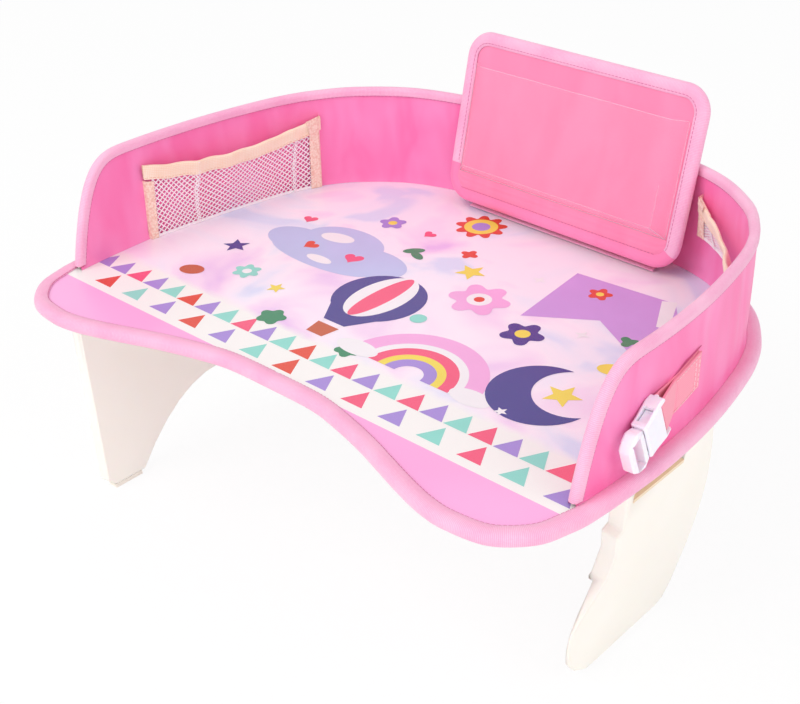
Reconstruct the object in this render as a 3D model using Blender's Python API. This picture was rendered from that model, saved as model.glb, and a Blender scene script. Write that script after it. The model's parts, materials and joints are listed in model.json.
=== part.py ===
"""Children's travel tray table: a padded board with a raised rim, two net pockets, a phone
holder, two side-release buckles and two fold-away legs. Metres, +Z up. The origin is on the
floor, under the middle of the tray. The front of the tray, with the hollow for the child's
belly, looks along -Y, and the right-hand side is +X."""

import math

import bmesh
import bpy
from mathutils import Matrix, Vector

mm = 0.001
degree = math.pi / 180

# Tray board. The outline runs from the middle of the front edge round the right-hand side to
# the middle of the back, as shares of half the width and of the depth.
TRAY_WIDTH = 400 * mm
TRAY_DEPTH = 308 * mm
TRAY_TOP_HEIGHT = 146 * mm
OUTLINE_SHARES = (
    (0.0, 0.103), (0.16, 0.101), (0.27, 0.087), (0.388, 0.065), (0.49, 0.041), (0.59, 0.018),
    (0.67, 0.004), (0.745, 0.0), (0.855, 0.013), (0.938, 0.06), (0.97, 0.112), (0.988, 0.174),
    (1.0, 0.33), (0.99, 0.473), (0.962, 0.6), (0.924, 0.703), (0.868, 0.783), (0.77, 0.866),
    (0.585, 0.947), (0.305, 0.989), (0.0, 1.0),
)
FILM_THICKNESS = 0.3 * mm
TOP_COVER_THICKNESS = 0.8 * mm
BOARD_THICKNESS = 3.2 * mm
BOTTOM_COVER_THICKNESS = 0.6 * mm
LAYER_GAP = 0.3 * mm
LAYER_INSET = 1.6 * mm
LAYER_STATIONS = 80

# Folded tape round the edge of the tray.
EDGE_TAPE_WIDTH = 8.8 * mm
TAPE_THICKNESS = 0.7 * mm
EDGE_TAPE_ROUNDING = 2.2 * mm

# Raised rim. It stands inside the edge tape, open at the front.
RIM_HEIGHT = 65.3 * mm
RIM_INSET = 11.0 * mm
RIM_FRONT_FROM_LOBE = 47 * mm
RIM_END_RUN = 50 * mm
RIM_END_POWER = 3.6
RIM_TIP_HEIGHT = 1.6 * mm
RIM_END_STATION_SHARES = (0.0, 0.08, 0.17, 0.28, 0.42, 0.6, 0.8, 1.0)
RIM_MIDDLE_STATIONS = 50
RIM_CORE_THICKNESS = 1.0 * mm
RIM_COVER_THICKNESS = 0.8 * mm
RIM_TAPE_WIDTH = 4.2 * mm
RIM_TAPE_ROUNDING = 1.4 * mm

# Net pockets, one on each side of the rim's inner face. Distances run along the rim from
# its front end.
POCKET_STARTS = {-1: 56 * mm, 1: 131 * mm}
POCKET_LENGTH = 137 * mm
RAISED_FOOT_HEIGHT = 27 * mm
RAISED_FOOT_SHARES = (0.4, 0.54)
POCKET_HEIGHT = 49 * mm
POCKET_SAG = 7 * mm
POCKET_SEAT = 2.2 * mm
POCKET_BULGE = 9 * mm
POCKET_BULGE_POWER = 0.6
POCKET_FOOT_BULGE_SHARE = 0.3
NET_THICKNESS = 0.8 * mm
NET_STRAND_SHARE = 0.12
NET_COLUMNS = 12
NET_ROWS = 4
NET_BORDER = 1.6 * mm
NET_END_MARGIN = 3.0 * mm
POCKET_TAPE_WIDTH = 8.5 * mm
POCKET_TAPE_THICKNESS = 0.7 * mm
POCKET_TAPE_STATIONS = 20
POCKET_SLOPE_SHARE = 0.01
POCKET_FRONT_TAPE_WIDTH = 5.5 * mm
POCKET_REAR_TAPE_WIDTH = 9 * mm
POCKET_SIDE_TAPE_ROWS = 2

# Phone holder. It stands on the tray in front of the rim and leans back on it at both ends.
HOLDER_WIDTH = 180 * mm
HOLDER_HEIGHT = 110 * mm
HOLDER_CORNER_RADIUS = 17 * mm
HOLDER_CORNER_STEPS = 6
HOLDER_CENTRE_SIDEWAYS = 14 * mm
HOLDER_LEAN = 13 * degree
HOLDER_SHEET_THICKNESS = 1.0 * mm
HOLDER_BOARD_THICKNESS = 2.0 * mm
HOLDER_TAPE_WIDTH = 8.5 * mm
HOLDER_TAPE_ROUNDING = 1.2 * mm
HOLDER_INSET = 1.4 * mm
WINDOW_THICKNESS = 0.5 * mm
WINDOW_DEPTH = 7.6 * mm
WINDOW_FOLD = 1.5 * mm
WINDOW_FLANGE = 3.5 * mm
WINDOW_LEFT_MARGIN = 12.5 * mm
WINDOW_RIGHT_MARGIN = 16 * mm
WINDOW_TOP_MARGIN = 21 * mm
LIP_HEIGHT = 9.5 * mm
LIP_THICKNESS = 0.8 * mm
FOOT_TAPE_DEPTH = 12 * mm
FOOT_TAPE_SETBACK = 8.5 * mm
FOOT_TAPE_THICKNESS = 0.9 * mm

# Webbing and side-release buckle on the rim's outer face. The bar that holds the webbing is
# the buckle's pivot.
STRAP_WIDTH = 20 * mm
STRAP_THICKNESS = 1.3 * mm
STRAP_END_FROM_LOBE = 141 * mm
STRAP_TAB_LENGTH = 31 * mm
STRAP_CENTRE_HEIGHT = 31 * mm
STRAP_LOOP_LENGTH = 15 * mm
STRAP_ARC_STEPS = 8
STRAP_TAIL_SHARE = 0.4
STRAP_EYE_SHARE = 0.5
BUCKLE_FROM_LOBE = 101 * mm
BUCKLE_HEIGHT = 27 * mm
BUCKLE_DROOP = 22 * degree
BUCKLE_SWING_OUT = 4 * degree
BUCKLE_WIDTH = 25 * mm
BUCKLE_THICKNESS = 8.4 * mm
BUCKLE_BAR_RADIUS = 1.4 * mm
BUCKLE_EYE_LENGTH = 5.0 * mm
BUCKLE_BODY_LENGTH = 13 * mm
BUCKLE_WAIST_SHARE = 0.86
BUCKLE_WALL = 1.5 * mm
BUCKLE_BACK_OFFSET = 4.6 * mm
BUCKLE_PLATE_LENGTH = 13.5 * mm
BUCKLE_PLATE_THICKNESS = 7.2 * mm
BUCKLE_SHOULDER_SHARE = 0.62
BUCKLE_SLOT_LENGTH = 6.2 * mm
BUCKLE_SLOT_MARGIN = 3.2 * mm
BUCKLE_SIDE_BAR = 3.0 * mm
BUCKLE_ARM_WIDTH = 2.3 * mm
BUCKLE_TONGUE_WIDTH = 6.0 * mm
BUCKLE_SIDE_OPENING_LENGTH = 8.5 * mm
BUCKLE_CHAMFER = 1.1 * mm
FIT_GAP = 0.4 * mm

# Legs. Each is one moulded plate that turns on a pin under the side of the tray. The outlines
# are (distance behind the front lobes, drop below the pin): the left leg is an arch on two
# feet, the right leg is one broad foot.
LEG_THICKNESS = 10 * mm
LEG_LEAN = 9 * degree
LEG_PIN_FROM_EDGE = 16 * mm
LEG_PIN_BELOW_TOP = 16 * mm
LEG_EDGE_ROUNDING = 1.2 * mm
LEG_EAR_RADIUS = 5.9 * mm
LEG_EAR_LENGTH = 16 * mm
LEG_NOTCH_DEPTH = 7.4 * mm
LEG_TOP_RISE = 3.0 * mm
PAD_THICKNESS = 1.2 * mm
PAD_MARGIN = 1.4 * mm
LEFT_FRONT_FROM_LOBE = 36 * mm
LEFT_FOOT_FORWARD = 8 * mm
LEFT_FRONT_FOOT_LENGTH = 29 * mm
LEFT_REAR_FOOT_LENGTH = 29 * mm
LEFT_LEG_LENGTH = 202 * mm
LEFT_SHOULDER_LENGTH = 41 * mm
LEFT_SHOULDER_DROP = 90 * mm
LEFT_ARCH_HEIGHT = 44 * mm
LEFT_ARCH_STEPS = 12
LEFT_NOTCH_FROM_LOBE = 90 * mm
LEFT_NOTCH_LENGTH = 56 * mm
RIGHT_NOTCH_FROM_LOBE = 96 * mm
RIGHT_NOTCH_LENGTH = 46 * mm
RIGHT_FRONT_FROM_LOBE = 88.6 * mm
RIGHT_TOP_LENGTH = 79 * mm
RIGHT_FRONT_EDGE_SHARES = (
    (0.076, 0.214), (0.013, 0.229), (0.063, 0.344), (0.025, 0.458), (-0.19, 0.588),
    (-0.253, 0.656), (-0.241, 0.756), (-0.177, 0.863), (-0.076, 0.947), (0.063, 1.0),
)
RIGHT_REAR_BULGE = 12 * mm
RIGHT_HEEL_REACH = 5 * mm
RIGHT_HEEL_ROUND = 12 * mm
TOE_BEVEL_TOP = 62 * mm
TOE_BEVEL_REACH = 38 * mm
TOE_EDGE_THICKNESS = 1.5 * mm
TOE_FORWARD = 22 * mm
RIGHT_REAR_STEPS = 8
SOLE_CORNER_RADIUS = 5 * mm

# Hinge brackets, pins and screws under the tray.
BRACKET_WIDTH = 34 * mm
BRACKET_THICKNESS = 2.5 * mm
BRACKET_OUTER_MARGIN = 16 * mm
BRACKET_REACH = 12 * mm
BRACKET_BARREL_RADIUS = 5.4 * mm
PIN_RADIUS = 2.0 * mm
PIN_HEAD_RADIUS = 3.6 * mm
PIN_HEAD_LENGTH = 1.4 * mm
PIN_END_LENGTH = 1.0 * mm
SCREW_RADIUS = 1.5 * mm
SCREW_HEAD_RADIUS = 3.2 * mm
SCREW_HEAD_LENGTH = 1.4 * mm
SCREW_BITE = 2.4 * mm
SCREW_EDGE_MARGIN = 5.5 * mm
BRACKET_OUTER_SCREW_INSET = 15 * mm
ROUND_SIDES = 16
SMALL_ROUND_SIDES = 12
CUT_OVERRUN = 2.0 * mm
ROUNDING_SHARE = 0.3

TAPE_INNER_GAP = LAYER_GAP
FILM_TOP = TRAY_TOP_HEIGHT
FILM_BOTTOM = FILM_TOP - FILM_THICKNESS
TOP_COVER_TOP = FILM_BOTTOM - LAYER_GAP
TOP_COVER_BOTTOM = TOP_COVER_TOP - TOP_COVER_THICKNESS
BOARD_TOP = TOP_COVER_BOTTOM - LAYER_GAP
BOARD_BOTTOM = BOARD_TOP - BOARD_THICKNESS
BOTTOM_COVER_TOP = BOARD_BOTTOM - LAYER_GAP
BOTTOM_COVER_BOTTOM = BOTTOM_COVER_TOP - BOTTOM_COVER_THICKNESS
RIM_FOOT = FILM_TOP + LAYER_GAP
RIM_HALF = RIM_CORE_THICKNESS / 2 + LAYER_GAP + RIM_COVER_THICKNESS
FRONT_Y = -TRAY_DEPTH / 2
PIN_HEIGHT = TRAY_TOP_HEIGHT - LEG_PIN_BELOW_TOP
PIN_SIDEWAYS = TRAY_WIDTH / 2 - LEG_PIN_FROM_EDGE


def clear_scene():
    for old in list(bpy.data.objects):
        bpy.data.objects.remove(old, do_unlink=True)


def finish(name, red, green, blue, roughness, metallic=0.0, alpha=1.0):
    material = bpy.data.materials.new(name)
    material.use_nodes = True
    shader = material.node_tree.nodes["Principled BSDF"]
    shader.inputs["Base Color"].default_value = (red, green, blue, 1.0)
    shader.inputs["Roughness"].default_value = roughness
    shader.inputs["Metallic"].default_value = metallic
    shader.inputs["Alpha"].default_value = alpha
    return material


def lerp(a, b, share):
    return a + (b - a) * share


def smooth_loop(points, steps):
    """Closed Catmull-Rom curve through the points."""
    count = len(points)
    curve = []
    for i in range(count):
        p0, p1, p2, p3 = (points[(i + k - 1) % count] for k in range(4))
        for k in range(steps):
            t = k / steps
            curve.append(
                0.5 * (2 * p1 + (p2 - p0) * t + (2 * p0 - 5 * p1 + 4 * p2 - p3) * t**2
                       + (3 * p1 - p0 - 3 * p2 + p3) * t**3)
            )
    return curve


def at_distances(points, distances):
    """Points of an open polyline at the given distances along it."""
    lengths = [0.0]
    for a, b in zip(points, points[1:]):
        lengths.append(lengths[-1] + (b - a).length)
    found = []
    k = 0
    for distance in distances:
        while k < len(points) - 2 and lengths[k + 1] < distance:
            k += 1
        span = lengths[k + 1] - lengths[k]
        share = (distance - lengths[k]) / span if span else 0.0
        found.append(points[k].lerp(points[k + 1], share))
    return found


def length_of(points):
    return sum((b - a).length for a, b in zip(points, points[1:]))


def tray_outline():
    """The tray's outer edge, anticlockwise from the middle of the front, as fine points."""
    half = [
        Vector((x * TRAY_WIDTH / 2, FRONT_Y + y * TRAY_DEPTH, 0.0)) for x, y in OUTLINE_SHARES
    ]
    mirrored = [Vector((-p.x, p.y, 0.0)) for p in reversed(half[1:-1])]
    return smooth_loop(half + mirrored, 12)


OUTLINE = tray_outline()


def outward_normals(loop):
    count = len(loop)
    normals = []
    for i in range(count):
        along = (loop[(i + 1) % count] - loop[i - 1]).normalized()
        normals.append(Vector((along.y, -along.x, 0.0)))
    return normals


def inset_loop(inset, stations):
    """Equally spaced points of the tray's edge, moved inwards, with their outward normals."""
    closed = OUTLINE + [OUTLINE[0]]
    total = length_of(closed)
    points = at_distances(closed, [total * i / stations for i in range(stations)])
    normals = outward_normals(points)
    return [p - n * inset for p, n in zip(points, normals)], normals


def rim_line():
    """Centre line of the rim, from its right-hand front end round the back to its left one."""
    count = len(OUTLINE)
    normals = outward_normals(OUTLINE)
    line = [p - n * RIM_INSET for p, n in zip(OUTLINE, normals)]
    front = FRONT_Y + RIM_FRONT_FROM_LOBE
    lobe = min(range(count // 2), key=lambda i: OUTLINE[i].y)
    kept = [i for i in range(lobe, count - lobe) if line[i].y > front]
    first, last = kept[0], kept[-1]
    before, after = line[first - 1], line[(last + 1) % count]
    start = before.lerp(line[first], (front - before.y) / (line[first].y - before.y))
    end = after.lerp(line[last], (front - after.y) / (line[last].y - after.y))
    return [start] + line[first:last + 1] + [end]


def rim_stations(whole):
    """Distances along a rim this long, closer together on its curved front ends."""
    ends = [share * RIM_END_RUN for share in RIM_END_STATION_SHARES]
    straight = whole - 2 * RIM_END_RUN
    middle = [
        RIM_END_RUN + straight * i / RIM_MIDDLE_STATIONS for i in range(1, RIM_MIDDLE_STATIONS)
    ]
    return ends + middle + [whole - distance for distance in reversed(ends)]


def distances_along(points):
    found = [0.0]
    for a, b in zip(points, points[1:]):
        found.append(found[-1] + (b - a).length)
    return found


RIM_CURVE = rim_line()
RIM_LINE = at_distances(RIM_CURVE, rim_stations(length_of(RIM_CURVE)))
RIM_STATIONS = distances_along(RIM_LINE)
RIM_LENGTH = RIM_STATIONS[-1]


def rim_point(distance, outward=0.0, height=0.0):
    """A point beside the rim's centre line, `distance` along it from the right-hand front."""
    small = RIM_LENGTH / 1000
    a, here, b = at_distances(
        RIM_LINE,
        [max(distance - small, 0.0), distance, min(distance + small, RIM_LENGTH)],
    )
    along = (b - a).normalized()
    point = here + Vector((along.y, -along.x, 0.0)) * outward
    return Vector((point.x, point.y, height))


def side_distance(side, distance):
    """Distance from a side's own front end, for either side: side is 1 right or -1 left."""
    return distance if side > 0 else RIM_LENGTH - distance


def rim_top(distance):
    """Height of the rim's cut edge: it curves down to the board at both front ends."""
    from_end = min(distance, RIM_LENGTH - distance)
    share = min(from_end / RIM_END_RUN, 1.0)
    rise = 1 - (1 - share) ** RIM_END_POWER
    return RIM_FOOT + lerp(RIM_TIP_HEIGHT, RIM_HEIGHT, rise)


def new_object(name, mesh_builder, material, origin=None, parent=None):
    """Makes one closed mesh object. Its origin is at `origin`, in world space."""
    mesh_builder.normal_update()
    bmesh.ops.recalc_face_normals(mesh_builder, faces=mesh_builder.faces)
    if origin is not None:
        bmesh.ops.translate(mesh_builder, verts=mesh_builder.verts, vec=-origin)
    mesh = bpy.data.meshes.new(name)
    mesh_builder.to_mesh(mesh)
    mesh_builder.free()
    mesh.materials.append(material)
    mesh.shade_smooth()
    mesh.set_sharp_from_angle(angle=30 * degree)
    obj = bpy.data.objects.new(name, mesh)
    bpy.context.scene.collection.objects.link(obj)
    if origin is not None:
        obj.location = origin
    if parent is not None:
        obj.parent = parent
        obj.matrix_parent_inverse = parent.matrix_world.inverted()
    return obj


def pivot_empty(name, location):
    empty = bpy.data.objects.new(name, None)
    bpy.context.scene.collection.objects.link(empty)
    empty.empty_display_size = PIN_SIDEWAYS / 10
    empty.location = location
    bpy.context.view_layer.update()
    return empty


def prism(low_ring, high_ring):
    """Closed solid between two rings of as many points."""
    built = bmesh.new()
    low = [built.verts.new(p) for p in low_ring]
    high = [built.verts.new(p) for p in high_ring]
    built.faces.new(low[::-1])
    built.faces.new(high)
    count = len(low)
    for i in range(count):
        j = (i + 1) % count
        built.faces.new((low[i], low[j], high[j], high[i]))
    return built


def raised(points, height):
    return [Vector((p.x, p.y, height)) for p in points]


def swept(sections, closed):
    """Closed solid through a row of rings. An open sweep is capped at both ends."""
    built = bmesh.new()
    rings = [[built.verts.new(p) for p in section] for section in sections]
    size = len(rings[0])
    pairs = list(zip(rings, rings[1:]))
    if closed:
        pairs.append((rings[-1], rings[0]))
    for a, b in pairs:
        for i in range(size):
            j = (i + 1) % size
            built.faces.new((a[i], a[j], b[j], b[i]))
    if not closed:
        built.faces.new(rings[0][::-1])
        built.faces.new(rings[-1])
    return built


def sheet(near_rows, far_rows):
    """Closed solid between two grids of points, with its edges closed all round."""
    built = bmesh.new()
    near = [[built.verts.new(p) for p in row] for row in near_rows]
    far = [[built.verts.new(p) for p in row] for row in far_rows]
    rows, columns = len(near), len(near[0])
    for r in range(rows - 1):
        for c in range(columns - 1):
            built.faces.new((near[r][c], near[r][c + 1], near[r + 1][c + 1], near[r + 1][c]))
            built.faces.new((far[r][c], far[r + 1][c], far[r + 1][c + 1], far[r][c + 1]))
    for c in range(columns - 1):
        built.faces.new((near[0][c], far[0][c], far[0][c + 1], near[0][c + 1]))
        built.faces.new((near[-1][c], near[-1][c + 1], far[-1][c + 1], far[-1][c]))
    for r in range(rows - 1):
        built.faces.new((near[r][0], near[r + 1][0], far[r + 1][0], far[r][0]))
        built.faces.new((near[r][-1], far[r][-1], far[r + 1][-1], near[r + 1][-1]))
    return built


def rod(start, end, radius, sides):
    """Closed cylinder between two points."""
    axis = (end - start).normalized()
    across = axis.orthogonal().normalized()
    other = axis.cross(across)
    ring = [
        across * math.cos(2 * math.pi * i / sides) * radius
        + other * math.sin(2 * math.pi * i / sides) * radius
        for i in range(sides)
    ]
    return prism([start + p for p in ring], [end + p for p in ring])


def helper(name, built):
    """A cutter or a shape to join. It isn't a piece of the tray."""
    obj = new_object(name, built, HELPER_FINISH)
    obj.hide_render = True
    obj.display_type = "WIRE"
    return obj


def boolean(target, operation, other):
    modifier = target.modifiers.new(operation.title() + " " + other.name, "BOOLEAN")
    modifier.operation = operation
    modifier.solver = "EXACT"
    modifier.object = other


def merged(*parts):
    """One mesh builder holding several closed shapes, for a cutter."""
    whole = parts[0]
    for part in parts[1:]:
        mesh = bpy.data.meshes.new("joined")
        part.to_mesh(mesh)
        part.free()
        whole.from_mesh(mesh)
        bpy.data.meshes.remove(mesh)
    return whole


def tape_section(half_inside, width, thickness, rounding):
    """Folded tape as (across, outward) points: its mouth looks inwards, its fold outwards."""
    half = half_inside + thickness
    fold = thickness + TAPE_INNER_GAP
    corner = rounding * ROUNDING_SHARE
    return (
        (-half, -width), (-half, fold - rounding), (-half + corner, fold - corner),
        (-half + rounding, fold), (half - rounding, fold), (half - corner, fold - corner),
        (half, fold - rounding), (half, -width),
        (half_inside, -width), (half_inside, TAPE_INNER_GAP), (-half_inside, TAPE_INNER_GAP),
        (-half_inside, -width),
    )


def layer(name, bottom, top, material):
    points, _ = inset_loop(LAYER_INSET, LAYER_STATIONS)
    return new_object(name, prism(raised(points, bottom), raised(points, top)), material)


def build_tray():
    layer("tray_clear_film", FILM_BOTTOM, FILM_TOP, CLEAR_FILM)
    layer("tray_top_cover", TOP_COVER_BOTTOM, TOP_COVER_TOP, PRINTED_COVER)
    board = layer("tray_board", BOARD_BOTTOM, BOARD_TOP, STIFF_BOARD)
    bottom = layer("tray_bottom_cover", BOTTOM_COVER_BOTTOM, BOTTOM_COVER_TOP, PINK_CANVAS)
    points, normals = inset_loop(LAYER_INSET, LAYER_STATIONS)
    middle = (FILM_TOP + BOTTOM_COVER_BOTTOM) / 2
    half_inside = (FILM_TOP - BOTTOM_COVER_BOTTOM) / 2 + TAPE_INNER_GAP
    section = tape_section(
        half_inside, EDGE_TAPE_WIDTH - LAYER_INSET, TAPE_THICKNESS, EDGE_TAPE_ROUNDING
    )
    sections = [
        [p + n * outward + Vector((0.0, 0.0, middle + across)) for across, outward in section]
        for p, n in zip(points, normals)
    ]
    new_object("tray_edge_binding", swept(sections, True), BINDING_TAPE)
    return board, bottom


def build_rim():
    stations = RIM_STATIONS

    def layer_of_rim(name, inner, outer, material):
        rows = [
            [
                [rim_point(d, side, RIM_FOOT) for d in stations],
                [rim_point(d, side, rim_top(d)) for d in stations],
            ]
            for side in (inner, outer)
        ]
        new_object(name, sheet(rows[0], rows[1]), material)

    core = RIM_CORE_THICKNESS / 2
    layer_of_rim("rim_core", -core, core, STIFF_BOARD)
    layer_of_rim("rim_inner_cover", -RIM_HALF, -core - LAYER_GAP, PINK_LEATHER)
    layer_of_rim("rim_outer_cover", core + LAYER_GAP, RIM_HALF, PINK_LEATHER)

    path = [rim_point(d, 0.0, rim_top(d)) for d in stations]
    section = tape_section(
        RIM_HALF + TAPE_INNER_GAP, RIM_TAPE_WIDTH, TAPE_THICKNESS, RIM_TAPE_ROUNDING
    )
    sections = []
    for i, (distance, point) in enumerate(zip(stations, path)):
        outward = (rim_point(distance, RIM_HALF) - rim_point(distance)).normalized()
        if i == 0:
            along = Vector((0.0, 0.0, 1.0))
        elif i == len(path) - 1:
            along = Vector((0.0, 0.0, -1.0))
        else:
            along = ((point - path[i - 1]).normalized() + (path[i + 1] - point).normalized())
            along.normalize()
        edge = outward.cross(along).normalized()
        sections.append([point + outward * across + edge * out for across, out in section])
    new_object("rim_binding", swept(sections, False), BINDING_TAPE)


def pocket_top(share):
    return POCKET_HEIGHT - POCKET_SAG * math.sin(math.pi * share)


def pocket_foot(side, share):
    """Height of the net's foot. The right-hand net is cut away below its rear half."""
    if side < 0:
        return 0.0
    low, high = RAISED_FOOT_SHARES
    t = min(max((share - low) / (high - low), 0.0), 1.0)
    return RAISED_FOOT_HEIGHT * t * t * (3 - 2 * t)


def pocket_point(side, share, height_share, off=0.0):
    """A point of a pocket's net. Shares run from its front end and from its foot."""
    distance = side_distance(side, POCKET_STARTS[side] + POCKET_LENGTH * share)
    swell = math.sin(math.pi * min(max(share, 0.0), 1.0)) ** POCKET_BULGE_POWER
    rise = lerp(POCKET_FOOT_BULGE_SHARE, 1.0, min(max(height_share, 0.0), 1.0))
    inward = RIM_HALF + POCKET_SEAT + POCKET_BULGE * swell * rise + off
    height = RIM_FOOT + lerp(pocket_foot(side, share), pocket_top(share), height_share)
    return rim_point(distance, -inward, height)


def border_marks(count):
    """Where the half knots of a net end on its border, and the border's two ends."""
    found = {0.0, float(count)}
    for knot in range(0, count + 1, 2):
        found |= {knot - NET_STRAND_SHARE, knot + NET_STRAND_SHARE}
    return sorted(mark for mark in found if 0 <= mark <= count)


def net_faces(wide, tall, rail_x, rail_y):
    """Faces of a diamond net with a selvedge round it. Its knots are one unit apart."""
    gap = NET_STRAND_SHARE
    faces = []
    for i in range(wide + 1):
        for j in range(tall + 1):
            if (i + j) % 2 == 0:
                corners = ((i + gap, j), (i, j + gap), (i - gap, j), (i, j - gap))
                knot = [(x, y) for x, y in corners if 0 <= x <= wide and 0 <= y <= tall]
                if len(knot) == 2:
                    knot.append((i, j))
                faces.append(knot)
                continue
            if i < wide and j < tall:
                faces.append([(i + 1 - gap, j), (i + 1, j + gap), (i + gap, j + 1),
                              (i, j + 1 - gap)])
            if i > 0 and j < tall:
                faces.append([(i, j + 1 - gap), (i - gap, j + 1), (i - 1, j + gap),
                              (i - 1 + gap, j)])
    across, up = border_marks(wide), border_marks(tall)
    for a, b in zip(across, across[1:]):
        faces.append([(a, 0), (b, 0), (b, -rail_y), (a, -rail_y)])
        faces.append([(a, tall), (a, tall + rail_y), (b, tall + rail_y), (b, tall)])
    for a, b in zip(up, up[1:]):
        faces.append([(0, a), (-rail_x, a), (-rail_x, b), (0, b)])
        faces.append([(wide, a), (wide, b), (wide + rail_x, b), (wide + rail_x, a)])
    for x, y, dx, dy in ((0, 0, -rail_x, -rail_y), (wide, 0, rail_x, -rail_y),
                         (wide, tall, rail_x, rail_y), (0, tall, -rail_x, rail_y)):
        faces.append([(x, y), (x + dx, y), (x + dx, y + dy), (x, y + dy)])
    return faces


def build_net(side, name):
    """One flat diamond net in a narrow selvedge, bent to the pocket's shape."""
    wide, tall = 2 * NET_COLUMNS, 2 * NET_ROWS
    margin = NET_END_MARGIN / POCKET_LENGTH
    rail_x = NET_BORDER / POCKET_LENGTH * wide
    rail_y = NET_BORDER / POCKET_HEIGHT * tall
    built = bmesh.new()
    knots = {}

    def corner(point, layer_index):
        x, y = point
        key = (round(x, 5), round(y, 5), layer_index)
        if key not in knots:
            share = lerp(margin, 1 - margin, (x + rail_x) / (wide + 2 * rail_x))
            height_share = (y + rail_y) / (tall + 2 * rail_y)
            off = NET_THICKNESS * layer_index
            knots[key] = built.verts.new(pocket_point(side, share, height_share, off))
        return knots[key]

    border = {}
    for face in net_faces(wide, tall, rail_x, rail_y):
        pairs = list(zip(face, face[1:] + face[:1]))
        area = sum(a[0] * b[1] - b[0] * a[1] for a, b in pairs)
        ring = face if area > 0 else face[::-1]
        built.faces.new([corner(point, 1) for point in ring])
        built.faces.new([corner(point, 0) for point in reversed(ring)])
        for a, b in zip(ring, ring[1:] + ring[:1]):
            key = tuple(round(v, 5) for v in a + b)
            if border.pop(key[2:] + key[:2], None) is None:
                border[key] = (a, b)
    for a, b in border.values():
        built.faces.new((corner(a, 0), corner(b, 0), corner(b, 1), corner(a, 1)))
    new_object(name, built, WHITE_NET)


def build_pocket(side, word):
    build_net(side, word + "_pocket_net")
    half_inside = NET_THICKNESS / 2 + 2 * LAYER_GAP
    half = half_inside + POCKET_TAPE_THICKNESS
    section = (
        (-half, -POCKET_TAPE_WIDTH), (-half, LAYER_GAP + POCKET_TAPE_THICKNESS),
        (half, LAYER_GAP + POCKET_TAPE_THICKNESS), (half, -POCKET_TAPE_WIDTH),
        (half_inside, -POCKET_TAPE_WIDTH), (half_inside, LAYER_GAP),
        (-half_inside, LAYER_GAP), (-half_inside, -POCKET_TAPE_WIDTH),
    )
    sections = []
    for i in range(POCKET_TAPE_STATIONS + 1):
        share = i / POCKET_TAPE_STATIONS
        top = pocket_point(side, share, 1.0, NET_THICKNESS / 2)
        lower_share = 1 - POCKET_TAPE_WIDTH / (pocket_top(share) - pocket_foot(side, share))
        below = pocket_point(side, share, lower_share, NET_THICKNESS / 2)
        up = (top - below).normalized()
        a = pocket_point(side, max(share - POCKET_SLOPE_SHARE, 0.0), 1.0)
        b = pocket_point(side, min(share + POCKET_SLOPE_SHARE, 1.0), 1.0)
        across = up.cross(b - a).normalized()
        sections.append([top + across * x + up * y for x, y in section])
    new_object(word + "_pocket_top_tape", swept(sections, False), PEACH_TAPE)

    side_tape_height = POCKET_HEIGHT - POCKET_TAPE_WIDTH - 2 * LAYER_GAP
    for start, end in ((0.0, POCKET_FRONT_TAPE_WIDTH),
                       (POCKET_LENGTH - POCKET_REAR_TAPE_WIDTH, POCKET_LENGTH)):
        which = "front" if start == 0.0 else "rear"
        foot = pocket_foot(side, start / POCKET_LENGTH)
        low = RIM_HALF + LAYER_GAP
        high = low + POCKET_TAPE_THICKNESS
        rows = []
        for inward in (low, high):
            rows.append([
                [
                    rim_point(
                        side_distance(side, POCKET_STARTS[side] + lerp(start, end, c / 2)),
                        -inward,
                        RIM_FOOT + lerp(foot, side_tape_height, r / POCKET_SIDE_TAPE_ROWS),
                    )
                    for c in range(3)
                ]
                for r in range(POCKET_SIDE_TAPE_ROWS + 1)
            ])
        new_object(f"{word}_pocket_{which}_tape", sheet(rows[0], rows[1]), PEACH_TAPE)


def rounded_rectangle(width, height, radius, steps):
    """Anticlockwise (x, y) points of a rectangle whose foot is at y = 0, centred on x = 0."""
    points = []
    side, low, high = width / 2 - radius, radius, height - radius
    corners = ((side, low), (side, high), (-side, high), (-side, low))
    for quarter, (x, y) in enumerate(corners):
        for i in range(steps + 1):
            angle = (quarter - 1 + i / steps) * math.pi / 2
            points.append((x + radius * math.cos(angle), y + radius * math.sin(angle)))
    return points


def holder_frame():
    """Foot of the holder and its axes: across, up its face, and out of its front."""
    half_stack = (
        HOLDER_BOARD_THICKNESS / 2 + LAYER_GAP + HOLDER_SHEET_THICKNESS
        + TAPE_INNER_GAP + TAPE_THICKNESS
    )
    foot_height = FILM_TOP + LAYER_GAP + FOOT_TAPE_THICKNESS + LAYER_GAP + half_stack
    rest_height = RIM_FOOT + RIM_HEIGHT + TAPE_INNER_GAP + TAPE_THICKNESS
    inner_face = RIM_HALF + TAPE_INNER_GAP + TAPE_THICKNESS
    touching = []
    for end in (-1, 1):
        x = HOLDER_CENTRE_SIDEWAYS + end * HOLDER_WIDTH / 2
        inner = [rim_point(RIM_LENGTH * i / 400, -inner_face) for i in range(401)]
        touching.append(min((p for p in inner if p.y > 0), key=lambda p: abs(p.x - x)))
    left, right = touching
    across = (right - left).normalized()
    back = Vector((-across.y, across.x, 0.0))
    up = Vector((0.0, 0.0, 1.0)) * math.cos(HOLDER_LEAN) + back * math.sin(HOLDER_LEAN)
    front = across.cross(up)
    reach = (
        (rest_height - foot_height) * math.sin(HOLDER_LEAN) + half_stack + LAYER_GAP
    ) / math.cos(HOLDER_LEAN)
    middle = (left + right) / 2 - back * reach
    foot = Vector((middle.x, middle.y, foot_height))
    return foot, across, up, front, half_stack


HOLDER_FOOT, HOLDER_ACROSS, HOLDER_UP, HOLDER_FRONT, HOLDER_HALF_STACK = holder_frame()


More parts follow.
